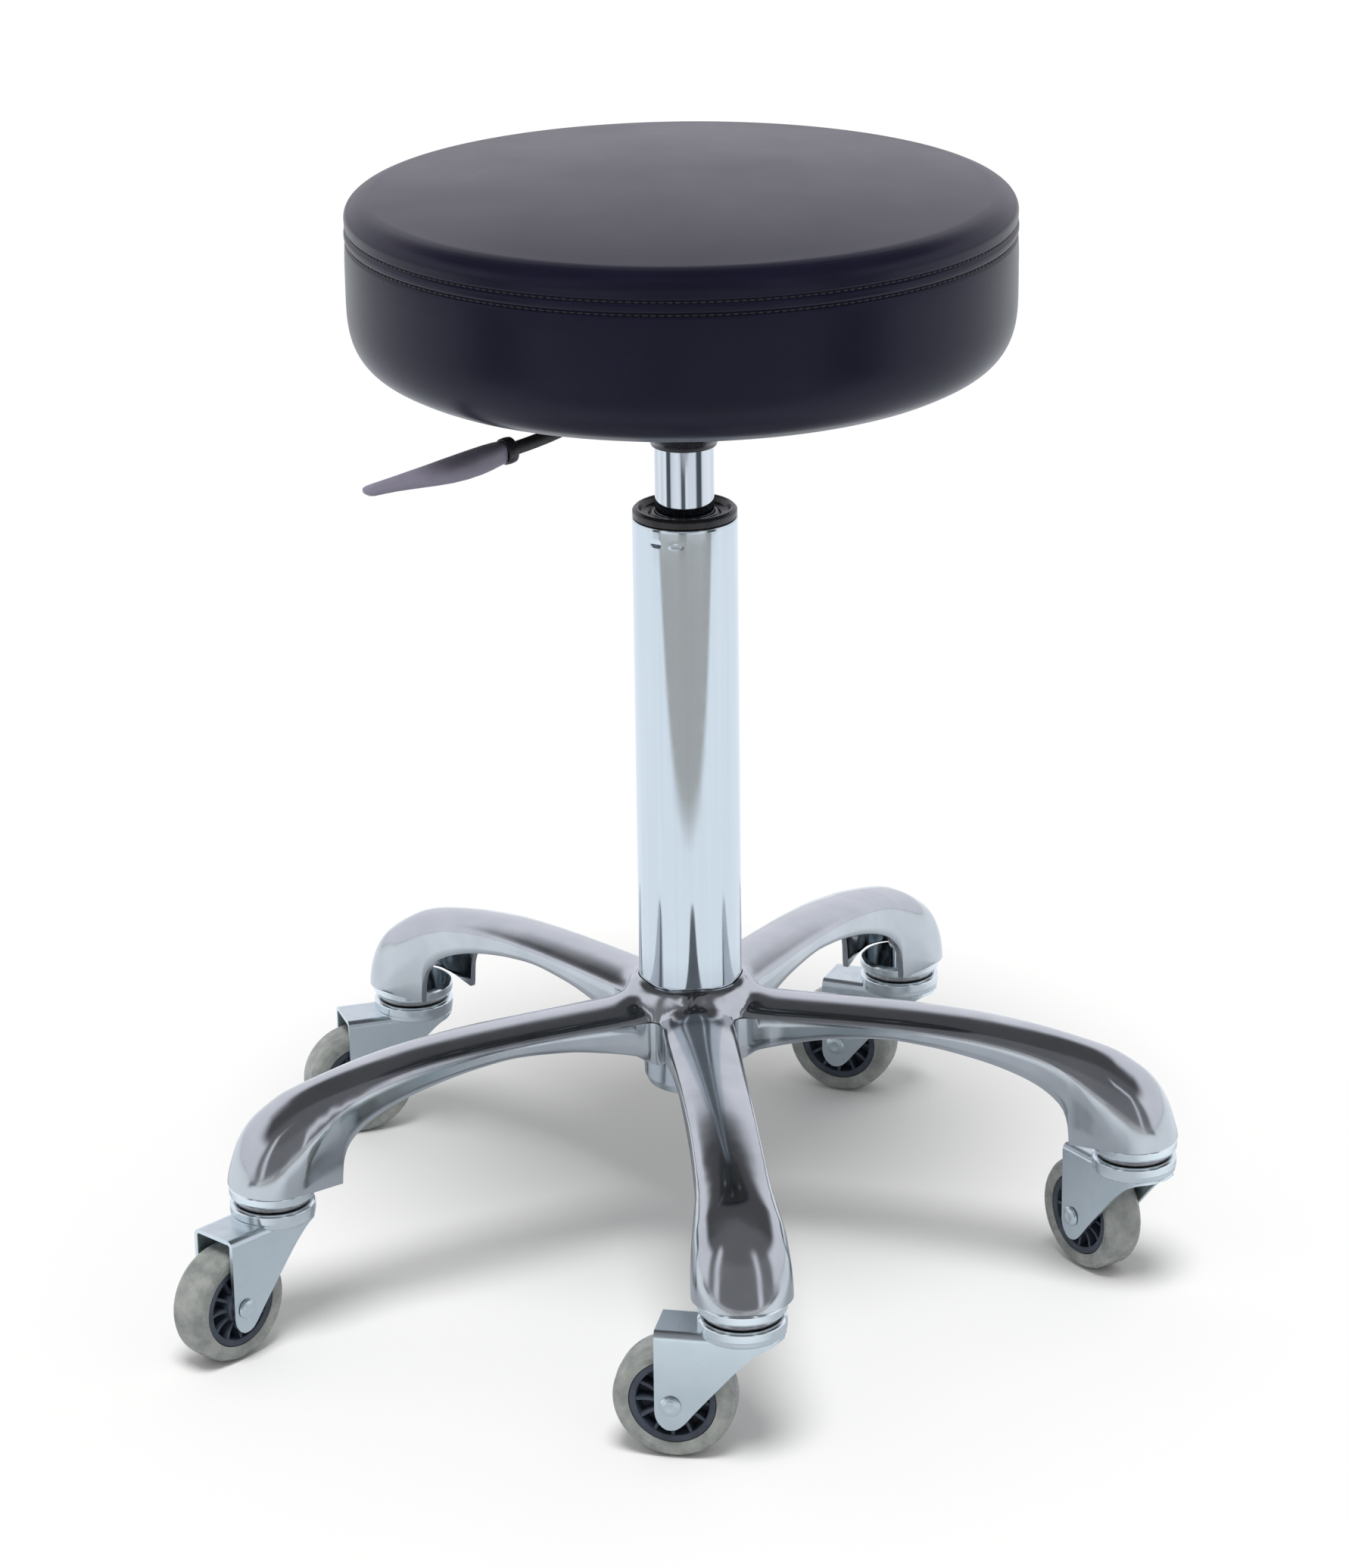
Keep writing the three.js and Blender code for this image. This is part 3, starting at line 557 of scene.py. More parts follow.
def web_columns():
    """Round the hub's bore, with the outer point on a curve from the arm's side to the web."""
    start, end = np.array([37, 17.45]), np.array(WEB)
    slope0 = np.array([-1.0, 0.07])
    slope1 = np.array([-math.cos(math.radians(54)), math.sin(math.radians(54))])
    for k in range(1, 11):
        t = k / 10
        h = np.array([2 * t**3 - 3 * t**2 + 1, t**3 - 2 * t**2 + t, -2 * t**3 + 3 * t**2, t**3 - t**2])
        outer = h[0] * start + h[1] * 9 * slope0 + h[2] * end + h[3] * 9 * slope1
        a = HALF_SECTOR * t
        low = between(SKIRT, outer[0]) * (1 - smooth(t)) + HUB_LOW * smooth(t)
        yield (HUB_BORE * math.cos(a), HUB_BORE * math.sin(a)), tuple(outer), low


def base_half_arm():
    """Upper skin, walls and underside of half an arm, with y from 0 outwards.

    Each column goes from an inner point to an outer one, with the height of the lower edge there.
    """
    rows = []
    for (ix, iy), (ox, oy), low in (*nose_columns(), *side_columns(), *web_columns()):
        row = []
        for f in ACROSS:
            x, y = ix + (ox - ix) * f, iy + (oy - iy) * f
            row.append((x, y, max(base_top(x, y), low)))
        edge = row[-1][2]
        for f in (0.3, 0.65, 0.93):
            row.append((ox, oy, edge + (low - edge) * f))
        normal = np.array([ox - ix, oy - iy], float)
        length = np.linalg.norm(normal)
        normal /= length
        row.append((ox - 0.35 * normal[0], oy - 0.35 * normal[1], low))
        wall = min(WALL, length * 0.5)
        ex, ey = ox - wall * normal[0], oy - wall * normal[1]
        row.append((ex, ey, low))
        for f in (0.999, 0.93, 0.8, 0.6, 0.35, 0.0):
            x, y = ix + (ex - ix) * f, iy + (ey - iy) * f
            roof = max(low, arm_top(x, y, WALL)) if ix > 42 else min(low, 118)
            row.append((x, y, roof))
        rows.append(row)
    return strip(rows)


def star_base():
    verts, faces = base_half_arm()
    mirror = ([(x, -y, z) for x, y, z in verts], [tuple(reversed(f)) for f in faces])
    arm = joined((verts, faces), mirror)
    bore = strip([
        [(HUB_BORE * math.cos(a), HUB_BORE * math.sin(a), z) for a in np.linspace(0, 2 * math.pi, 101)]
        for z in (112.5, 124, 136, 147.9)
    ])
    arms = [moved(arm, Matrix.Rotation(t, 4, "Z")) for t in ARM_TURNS]
    whole = joined(*arms, bore)
    finish_mesh("star_base_casting", *whole, "base", "cast_aluminium", ALUMINIUM, ["star_base"], 50)


star_base()


# ---------------------------------------------------------------- column and gas lift
DENTS = (-124.0, -100.0, -4.0, 116.0)  # headings of the crimps that hold the bush
DENT_HEIGHT = 372.6


def column():
    heights = list(np.linspace(150, 360, 15)) + list(np.linspace(362, 378.4, 22))
    outer = fillet([(6.5, 92.5), (20.6, 92.5, 1.2), (22.9, 97, 1.5), (24.9, 147, 2), (25, 149.5)], 4)
    outer += [(25, z) for z in heights]
    lip = fillet([(25, 379), (25, 380, 0.6), (23.2, 380, 0.5), (23.2, 378.5)], 4, hold=0.1)[1:-1]
    profile = outer + lip + [(23.2, 378), (23.2, 300), (23.1, 150), (21.1, 97), (21.1, 95.5), (6.5, 95.5)]
    verts, faces = turn(profile, 192, closed=True)
    shaped = []
    for x, y, z in verts:
        r = math.hypot(x, y)
        if r > 24 and z > 360:
            for heading in DENTS:
                off = (math.degrees(math.atan2(y, x)) - heading + 180) % 360 - 180
                along = math.radians(off) * 25 / 2.4
                depth = 0.2 * math.exp(-(along**4) - ((z - DENT_HEIGHT) / 0.9) ** 4)
                x, y = x * (1 - depth / r), y * (1 - depth / r)
        shaped.append((x, y, z))
    finish_mesh("column", shaped, faces, "base", "chrome_tube", CHROME, ["column_tube"])


def bush():
    outline = [
        (14.4, 305), (22.8, 305, 0.6), (22.8, 380.2), (24.3, 380.2, 0.2), (24.75, 381, 0.6),
        (24.75, 383.6, 0.9), (23.4, 384.9, 0.8), (22, 384.9, 0.8), (20.6, 382.2, 0.8), (17.2, 381.4, 0.6),
        (15.6, 382.6, 0.5), (14.4, 382.6, 0.3),
    ]
    ring = turned_ring(outline, 4, 128, hold=0.1)
    finish_mesh("guide_bush_ring", *ring, "base", "black_plastic", PLASTIC, ["guide_bush"])


def cylinder():
    outline = [
        (5.3, 112), (12.5, 112, 0.3), (14, 113.5, 0.8), (14, 120), (14, 420), (13.6, 437, 0.4),
        (12.6, 438, 0.4), (4.3, 438), (4.3, 432), (12.2, 432), (12.2, 118), (5.3, 118),
    ]
    shell = turned_ring(outline, 3, 128)
    finish_mesh("gas_cylinder_chrome", *shell, "seat", "chrome_rod", ROD, ["gas_cylinder"])


def socket_cover():
    outline = [
        (14.4, 415), (15.4, 415, 0.5), (16.2, 417, 1), (21.4, 422.6, 1.6), (22.4, 425, 1.5), (25, 433, 0.8),
        (24.4, 433.7, 0.3), (17.9, 433.7), (17.9, 420.6), (14.4, 420.6),
    ]
    cone = turned_ring(outline, 4, 128, hold=0.15)
    finish_mesh("socket_cone", *cone, "seat", "black_plastic", PLASTIC, ["socket_cover"])


column()
bush()
cylinder()
socket_cover()


# ---------------------------------------------------------------- casters
FORK_LOW = [
    (-19.6, 63.2), (-18, 62.4), (-14, 60.3), (-10, 58), (-5, 53.8), (0, 48.8), (8, 39.6), (16, 30.4),
    (21, 24.4), (24, 20.6), (26.6, 17.9), (29.4, 16.4), (32, 16.1), (34.6, 17.2), (36.8, 19.6), (38.2, 23),
    (38.6, 27), (38.7, 40),
]  # the cheek's lower edge, along the trail
FORK_STATIONS = [
    -19.6, -18.8, -17.5, -16, -14, -11, -8, -4, 0, 4, 8, 12, 16, 19, 21, 23, 25, 27, 29, 31, 33, 35, 36.6,
    37.6, 38.2, 38.5,
]
FORK_HALF = 13.2
FORK_TOP = 65.0
FORK_BEND = 3.2
FORK_SHEET = 2.0
FORK_ROUND = 19.8  # radius of the top plate round the stem


def fork_section(t, off):
    """A cut across the fork at t along its trail, off millimetres inside the outer skin."""
    round_half = math.sqrt(max(FORK_ROUND**2 - t * t, 9)) if t < 0 else FORK_HALF
    half, roof = min(FORK_HALF, round_half) - off, FORK_TOP - off
    curl = max(FORK_BEND - off, 0.8)
    start = roof - curl
    low = min(between(FORK_LOW, t), start)
    right = [(half, low + (start - low) * f) for f in (0, 0.03, 0.1, 0.3, 0.5, 0.7, 0.88, 0.97, 1)]
    for a in np.linspace(0, math.pi / 2, 7)[1:]:
        right.append((half - curl + curl * math.cos(a), start + curl * math.sin(a)))
    right += [(half - curl - 0.6, roof), (3, roof)]
    left = [(-y, z) for y, z in reversed(right)]
    return [(t, y, z) for y, z in right + left]


def fork_sheet():
    """The pressed fork: two cheeks and a top plate bent from one sheet. +X trails."""
    outer = strip([fork_section(t, 0) for t in FORK_STATIONS])
    inner = strip([fork_section(t, FORK_SHEET) for t in FORK_STATIONS])
    shift = len(outer[0])
    total = len(FORK_STATIONS)
    n = shift // total
    faces = list(outer[1]) + [tuple(reversed([i + shift for i in f])) for f in inner[1]]
    for r in range(total - 1):
        for side in (0, n - 1):
            a, b = r * n + side, (r + 1) * n + side
            faces.append((a, b, b + shift, a + shift))
    for i in range(n - 1):
        for r in (0, total - 1):
            a = r * n + i
            faces.append((a, a + 1, a + 1 + shift, a + shift))
    return outer[0] + inner[0], faces


def fork_cup():
    outline = [
        (5.3, 67.8), (14.5, 67.8, 0.6), (15.2, 63, 0.8), (16, 62.6, 0.4), (19.2, 62.6, 0.8), (20, 63.6, 0.8),
        (20.2, 65.4, 0.3), (20.4, 66, 0.3), (20.4, 69.8, 0.8), (19.2, 70.6, 0.5), (18.2, 70.6, 0.4),
        (17.9, 69.8, 0.3), (5.3, 69.8),
    ]
    return turned_ring(outline, 4, 96, hold=0.1)


def stem():
    """The pin's lower head, the plated cap ring and the pin up into the arm."""
    outline = [
        (0, 63.8), (6.6, 63.8, 0.8), (8, 65.2, 1.2), (8, 67.1, 0.2), (5, 67.1), (5, 73.6), (18.6, 73.6, 0.4),
        (19.9, 74.0, 0.6), (20.5, 75, 0.8), (20.5, 78.4, 0.8), (19.9, 79.3, 0.5), (18.5, 79.7, 0.3),
        (5.5, 79.7), (5.5, 106, 1), (0, 108),
    ]
    return turn(fillet(outline, 4, hold=0.1), 96)


def race():
    outline = [(5.3, 70.9), (17.6, 70.9, 0.4), (17.9, 72.1, 0.5), (17.6, 73.2, 0.4), (5.3, 73.2)]
    return turned_ring(outline, 3, 64, hold=0.1)


def axle():
    """The riveted axle, turned about Z, to be laid along the wheel's axis."""
    end = 13.5
    head = [
        (4, end), (4.9, end, 0.1), (5, end + 0.5, 0.2), (4.4, end + 1.2, 0.4), (2.6, end + 1.7, 0.6),
        (1.4, end + 1.55), (0, end + 1.4),
    ]
    tail = [(r, -z, *f) for r, z, *f in reversed(head)]
    return turn(fillet(tail + [(4, -12), (4, 12)] + head, 3, hold=0.1), 48)


def wheel_rib(a):
    """One rib of the web, at angle a, bulging a little at mid height."""
    c, s = math.cos(a), math.sin(a)
    rings = []
    for r, h in ((7.8, 8.4), (10, 7.6), (13.5, 7.4), (16.9, 8.2)):
        outline = ((-0.75, -h), (0.75, -h), (1.0, 0), (0.75, h), (-0.75, h), (-1.0, 0))
        rings.append([(r * c - y * s, r * s + y * c, z) for y, z in outline])
    return tube(rings)


def wheel_core():
    """Rim, hub and a web with ribs."""
    rim = [
        (17.0, -8.6, 0.4), (20.1, -8.8, 0.4), (20.1, 8.8, 0.4), (17.0, 8.6, 0.4), (16.6, 4, 0.6), (16.4, 0),
        (16.6, -4, 0.6),
    ]
    hub = [
        (4.3, -10.6), (7.6, -10.6, 0.5), (8.4, -9.6, 0.5), (8.6, 0), (8.4, 9.6, 0.5), (7.6, 10.6, 0.5),
        (4.3, 10.6),
    ]
    web = turn([(8, -1.4), (17, -1.4), (17, 1.4), (8, 1.4)], 96, closed=True)
    ribs = [wheel_rib(2 * math.pi * k / 12) for k in range(12)]
    return joined(turned_ring(rim, 3, 96, hold=0.2), turned_ring(hub, 3, 64, hold=0.2), web, *ribs)


def tread():
    outline = [
        (20.4, -9), (23.5, -9.6, 2), (26.3, -9.3, 2.2), (28.1, -6.6, 2.2), (28.42, -1.2), (28.5, 0),
        (28.42, 1.2), (28.1, 6.6, 2.2), (26.3, 9.3, 2.2), (23.5, 9.6, 2), (20.4, 9),
    ]
    return turned_ring(outline, 6, 128, hold=0.2)


def caster(k):
    swivel, spin = SWIVELS[k - 1], SPINS[k - 1]
    hub = Vector(spin["pos_m"])
    trail = math.atan2(hub.y - swivel.y, hub.x - swivel.x)
    upright = Matrix.Translation((swivel.x, swivel.y, 0)) @ Matrix.Rotation(trail, 4, "Z")
    lying = Matrix.Translation(hub) @ Matrix.Rotation(trail, 4, "Z") @ Matrix.Rotation(math.pi / 2, 4, "X")
    turning, rolling = f"caster_{k}", f"wheel_{k}"
    for name, shape, body, slot, material, node, place in (
        ("stem_ring", stem(), "base", "zinc_plate", POLISHED_ZINC, "caster_stem", upright),
        ("race_ring", race(), turning, "bare_steel", STEEL, "ball_race", upright),
        ("pressed_fork", fork_sheet(), turning, "zinc_plate", ZINC, "fork", upright),
        ("race_cup", fork_cup(), turning, "zinc_plate", POLISHED_ZINC, "fork", upright),
        ("riveted_axle", axle(), turning, "zinc_plate", ZINC, "axle", lying),
        ("wheel_centre", wheel_core(), rolling, "wheel_plastic", WHEEL, "wheel_core", lying),
        ("wheel_tread", tread(), rolling, "tread_urethane", TREAD, "tread", lying),
    ):
        finish_mesh(f"{name}_{k}", *shape, body, slot, material, [f"{node}_{k}"], place=place)


for number in range(1, 6):
    caster(number)


# ---------------------------------------------------------------- seat
SEAT_RADIUS = 155.2
SEAM = 520.0
STITCH_OFFSET = 2.9  # the stitch lines lie this far above and below the seam
BOARD_LOW = 454.85  # the cover wraps the board down to here
DOME = 7.6
CROWN = 535.4
HELD_BELOW = 0.474  # metres; the settling copy is held below this and within SEAM_HELD of the seam
SEAM_HELD = 3.5
LAST_FRAME = 20
PUFF = 0.22  # the cover is tight, so it takes this share of the swelling
PUFF_LIMIT = 0.0012


def corner(centre, across, high, power, steps):
    """A quarter of a superellipse, from its end on the axis side to its widest point."""
    out = []
    for i in range(steps + 1):
        a = (1 - i / steps) * math.pi / 2
        x, z = across * math.cos(a) ** (2 / power), high * math.sin(a) ** (2 / power)
        out.append((centre[0] + x, centre[1] + z))
    return out


def dome(r):
    return DOME * (1 - (r / SEAT_RADIUS) ** 2)


def seam_shape(z):
    """Pulls the cover in along two stitch lines, with the folded ridge between them standing out."""
    d = z - SEAM
    above, below = ((d - STITCH_OFFSET) / 0.8) ** 2, ((d + STITCH_OFFSET) / 0.8) ** 2
    pull = 0.95 * (math.exp(-above) + math.exp(-below))
    ridge = 0.5 * math.exp(-((d / 1.7) ** 4))
    return -pull + ridge - 0.5 * math.exp(-((d / 7) ** 2))


def cushion_outline():
    """From the board's underside, out round the lower corner, up the wall and in over the domed top."""
    outline = [(128.6, 455.6), (128, 455.2), (128.6, BOARD_LOW)]
    for r, z in corner((110, 492.8), 45.2, -39.2, 3.2, 40):
        if r > 130:
            outline.append((r, max(z - 0.7 * (1 - smooth((r - 134) / 8)), BOARD_LOW)))
    for z in (*np.arange(494, 512, 1.5), *np.arange(512, 526.8, 0.25)):
        outline.append((SEAT_RADIUS, float(z)))
    for r, z in reversed(corner((143, 527), 12.2, 8.4, 2.2, 40)):
        outline.append((r, z + dome(r)))
    for r in (140, 136, 132, 126, 119, 111, 102, 92, 80, 66, 50, 34, 18, 0):
        outline.append((r, CROWN + dome(r)))
    return outline


def cushion():
    verts, faces = turn(cushion_outline(), 288)
    shaped = []
    for x, y, z in verts:
        r = math.hypot(x, y)
        if r > 148 and abs(z - SEAM) < 12:
            push = seam_shape(z)
            x, y = x * (1 + push / r), y * (1 + push / r)
        shaped.append((x, y, z))
    replaced = ["seat_cover", "seat_foam"]
    obj = finish_mesh("seat_cushion", shaped, faces, "seat", "black_vinyl", VINYL, replaced, 60)
    return obj


def stitches():
    """Two rows of thread on either side of the seam's ridge."""
    parts = []
    count = 270
    for offset in (STITCH_OFFSET, -STITCH_OFFSET):
        height = SEAM + offset
        radius = SEAT_RADIUS + seam_shape(height) + 0.15
        half = math.pi * radius / count * 0.74
        for k in range(count):
            rings = []
            for f, size in ((-1, 0.1), (-0.8, 0.3), (-0.3, 0.38), (0.3, 0.38), (0.8, 0.3), (1, 0.1)):
                sink = -0.22 * f**4
                heading = 2 * math.pi * k / count + f * half / radius
                ring = []
                for c in range(5):
                    b = 2 * math.pi * c / 5
                    r = radius + sink + size * math.cos(b)
                    ring.append((r * math.cos(heading), r * math.sin(heading), height + size * math.sin(b)))
                rings.append(ring)
            parts.append(tube(rings))
    verts, faces = joined(*parts)
    return finish_mesh("seam_stitches", verts, faces, "seat", "black_vinyl", THREAD, sharp=80)


def coarse_copy(obj):
    """A closed copy with an even mesh."""
    copy = obj.copy()
    copy.data = obj.data.copy()
    copy.name = "cover_for_settling"
    bm = bmesh.new()
    bm.from_mesh(copy.data)
    bmesh.ops.holes_fill(bm, edges=[e for e in bm.edges if e.is_boundary], sides=0)
    bm.to_mesh(copy.data)
    bm.free()
    bpy.context.scene.collection.objects.link(copy)
    bpy.ops.object.select_all(action="DESELECT")
    copy.select_set(True)
    bpy.context.view_layer.objects.active = copy
    remesh = copy.modifiers.new("even_mesh", "REMESH")
    remesh.mode = "VOXEL"
    remesh.voxel_size = 0.005
    bpy.ops.object.modifier_apply(modifier=remesh.name)
    return copy


def settle(copy):
    """Simulates the copy as cloth with air pressed into it. Gives its vertices before and after."""
    scene = bpy.context.scene
    held = copy.vertex_groups.new(name="held")
    before = [v.co.copy() for v in copy.data.vertices]
    for i, p in enumerate(before):
        if p.z < HELD_BELOW or abs(p.z / MM - SEAM) < SEAM_HELD:
            held.add([i], 1.0, "REPLACE")
    cloth = copy.modifiers.new("cover", "CLOTH")
    settings = cloth.settings
    settings.quality = 6
    settings.mass = 0.35
    settings.tension_stiffness = 40
    settings.compression_stiffness = 40
    settings.shear_stiffness = 30
    settings.bending_stiffness = 20
    settings.use_pressure = True
    settings.uniform_pressure_force = 4
    settings.vertex_group_mass = held.name
    settings.pin_stiffness = 1.0
    settings.effector_weights.gravity = 0.0
    cloth.point_cache.frame_start = 1
    cloth.point_cache.frame_end = LAST_FRAME
    start = scene.frame_current
    for f in range(1, LAST_FRAME + 1):
        scene.frame_set(f)
    seen = copy.evaluated_get(bpy.context.evaluated_depsgraph_get())
    after = [v.co.copy() for v in seen.to_mesh().vertices]
    seen.to_mesh_clear()
    scene.frame_set(start)
    return before, after


def away_from_axis(p):
    """The level direction from the column's axis to p, and how far it is."""
    away = Vector((p.x - AXIS.x, p.y - AXIS.y, 0))
    radius = away.length
    return (away / radius if radius > 1e-6 else Vector((1, 0, 0))), radius


def puffed(obj):
    """A function that gives how far the cover moves at a place when it settles over its foam."""
    copy = coarse_copy(obj)
    before, after = settle(copy)
    bpy.data.objects.remove(copy, do_unlink=True)
    tree = KDTree(len(before))
    ring = KDTree(len(before))  # the same points, all turned to one side, for the average round the seat
    shifts, outward = [], []
    for i, (p, q) in enumerate(zip(before, after)):
        away, radius = away_from_axis(p)
        tree.insert(p, i)
        ring.insert((radius, 0, p.z), i)
        shifts.append(q - p)
        outward.append(((q - p).dot(away), (q - p).z))
    tree.balance()
    ring.balance()

    def shift_at(place):
        away, radius = away_from_axis(place)
        near = ring.find_n((radius, 0, place.z), 120)
        level = sum(outward[i][0] for _, i, _ in near) / len(near) * away
        level.z = sum(outward[i][1] for _, i, _ in near) / len(near)
        local, weights = Vector((0, 0, 0)), 0.0
        for _, i, distance in tree.find_n(place, 16):
            weight = math.exp(-((distance / 0.01) ** 2)) + 1e-6
            local += shifts[i] * weight
            weights += weight
        return (level * 0.93 + local / weights * 0.07) * PUFF

    return shift_at


cover = cushion()
sewn = stitches()
settled = puffed(cover)
for piece in (cover, sewn):
    for vertex in piece.data.vertices:
        shift = settled(vertex.co)
        vertex.co += shift * min(1.0, PUFF_LIMIT / max(shift.length, 1e-9))


# ---------------------------------------------------------------- under the seat
LEVER_PLACE = Matrix.Translation(AXIS) @ Matrix.Rotation(LEVER_TURN, 4, "Z")
HANDLE_START = 98
HANDLE_HEIGHT = 430.6
STAPLES = 24
STAPLE_RADIUS = 125.5


def lever_rod():
    """A bent round bar, with a boss round the pivot."""
    route = [
        (-6, 446.8), (10, 446.8), (30, 443.8), (42, 441.6), (60, 437.3), (76, 433.5), (98, HANDLE_HEIGHT),
        (124, 428.8),
    ]
    points = curve_points([(x, 0, z) for x, z in route], 60)
    last = len(points) - 1
    rings = []
    for i, p in enumerate(points):
        d = points[min(i + 1, last)] - points[max(i - 1, 0)]
        d /= np.linalg.norm(d)
        side, up = np.array([0, 1.0, 0]), np.cross(d, [0, 1.0, 0])
        size = 3.15 if 0 < i < last else 2.6
        angles = np.linspace(0, 2 * math.pi, 33)[:-1]
        rings.append([p + size * (math.cos(a) * side + math.sin(a) * up) for a in angles])
    boss = turned_ring([(2.8, -4.5), (5.4, -4.5, 0.5), (5.4, 4.5, 0.5), (2.8, 4.5)], 3, 48)
    boss = moved(boss, Matrix.Translation((30, 0, 443.8)) @ Matrix.Rotation(math.pi / 2, 4, "X"))
    bar = joined(tube(rings), boss)
    finish_mesh("lever_bar", *bar, "lever", "black_steel", BLACK_STEEL, ["lever_rod"], place=LEVER_PLACE)


def lever_handle():
    """A flat paddle with a straight upper edge, a bowed lower edge and a black collar."""
    stations = [
        (5.4, 4.4, 4.6, 0), (6, 5.0, 5.0, 0), (9, 5.6, 5.3, -0.1), (14, 6.4, 5.6, -0.5), (20, 7.0, 5.7, -0.9),
        (28, 7.5, 5.5, -1.2), (36, 7.7, 5.0, -1.2), (44, 7.4, 4.3, -1.0), (52, 6.9, 3.6, -0.6),
        (60, 6.3, 2.9, -0.2), (67, 5.7, 2.4, 0.1), (73, 5.2, 2.15, 0.3), (77.5, 4.7, 1.95, 0.35),
        (79.3, 3.9, 1.6, 0.35), (79.95, 2.2, 0.9, 0.35),
    ]
    sides = 48
    rings = []
    for along, half, thick, drop in stations:
        ring = []
        for i in range(sides):
            a = 2 * math.pi * i / sides
            c, d = math.cos(a), math.sin(a)
            y = half * math.copysign(abs(c) ** 0.72, c)
            z = thick * math.copysign(abs(d) ** 0.72, d)
            ring.append((HANDLE_START + along, y, HANDLE_HEIGHT - 0.068 * along + drop + z))
        rings.append(ring)
    collar = turned_ring([(3.4, 0), (6.0, 0, 0.6), (6.3, 2.6), (6.1, 5.2, 0.6), (4.2, 5.2)], 4, 64, hold=0.1)
    neck = Matrix.Translation((HANDLE_START, 0, HANDLE_HEIGHT))
    sloped = neck @ Matrix.Rotation(math.radians(93.9), 4, "Y")
    for name, shape, material, sharp in (
        # the paddle's grey is partly painted light, making up for the seat's shadow on it
        ("lever_paddle", tube(rings), LEVER_GREY_PAINTED_LIGHTER, 45),
        ("lever_collar", moved(collar, sloped), PLASTIC, 40),
    ):
        finish_mesh(name, *shape, "lever", "black_plastic", material, ["lever_handle"], sharp, LEVER_PLACE)


def seat_bolts():
    outline = [
        (0, 448.4), (1.5, 448.2), (2.4, 446.4, 0.3), (3.6, 446.2, 0.8), (6.2, 447.4, 1.2), (7.1, 449.4, 0.5),
        (7.1, 450.5, 0.2), (4, 450.5), (4, 463.5), (0, 463.8),
    ]
    bolt = turn(fillet(outline, 3, hold=0.1), 40)
    for k in range(1, 5):
        low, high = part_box(f"seat_bolt_{k}")
        centre = Matrix.Translation(((low[0] + high[0]) / 2, (low[1] + high[1]) / 2, 0))
        finish_mesh(f"pan_head_bolt_{k}", *bolt, "seat", "zinc_plate", ZINC, [f"seat_bolt_{k}"], place=centre)


def under_cover():
    """The cloth under the board, with its ring of staples."""
    outline = [(16, 453.8), (130.2, 453.8, 0.3), (131, 454.2, 0.3), (130.2, 454.6, 0.3), (16, 454.6)]
    finish_mesh("dust_cloth_disc", *turned_ring(outline, 3, 144), "seat", "dust_cloth", CLOTH, ["dust_cover"])
    bend = [(-5, 0, 453.9), (-4.8, 0, 453.55), (0, 0, 453.5), (4.8, 0, 453.55), (5, 0, 453.9)]
    wire = curve_points(bend, 9)
    angles = np.linspace(0, 2 * math.pi, 7)[:-1]
    rings = [[(x, y + 0.3 * math.cos(b), z + 0.2 * math.sin(b)) for b in angles] for x, y, z in wire]
    across = Matrix.Translation((STAPLE_RADIUS, 0, 0)) @ Matrix.Rotation(math.radians(82), 4, "Z")
    parts = []
    for k in range(STAPLES):
        heading = 2 * math.pi * (k + 0.5) / STAPLES
        parts.append(moved(tube(rings), Matrix.Rotation(heading, 4, "Z") @ across))
    verts, faces = joined(*parts)
    finish_mesh("staples", verts, faces, "seat", "bare_steel", STEEL)


lever_rod()
lever_handle()
seat_bolts()
under_cover()

# The CAD's own pieces that stay, with the materials they get.
KEPT = {
    "lever_housing": BLACK_STEEL, "seat_plate": BLACK_STEEL, "lever_pivot": ZINC, "seat_board": PLYWOOD,
    "piston_rod": STEEL, "piston": STEEL, "thrust_bearing": STEEL, "bump_stop": RUBBER,
    "retaining_clip": STEEL, "release_pin": STEEL,
}
for node, material in KEPT.items():
    obj = frame["nodes"][node]
    obj.data.materials.clear()
    obj.data.materials.append(material)
    bevel = obj.modifiers.new("worn_edges", "BEVEL")
    bevel.width = 0.0005 if node in ("lever_housing", "seat_plate") else 0.0002
    bevel.segments = 3
    bevel.limit_method = "ANGLE"
    bevel.angle_limit = math.radians(35)


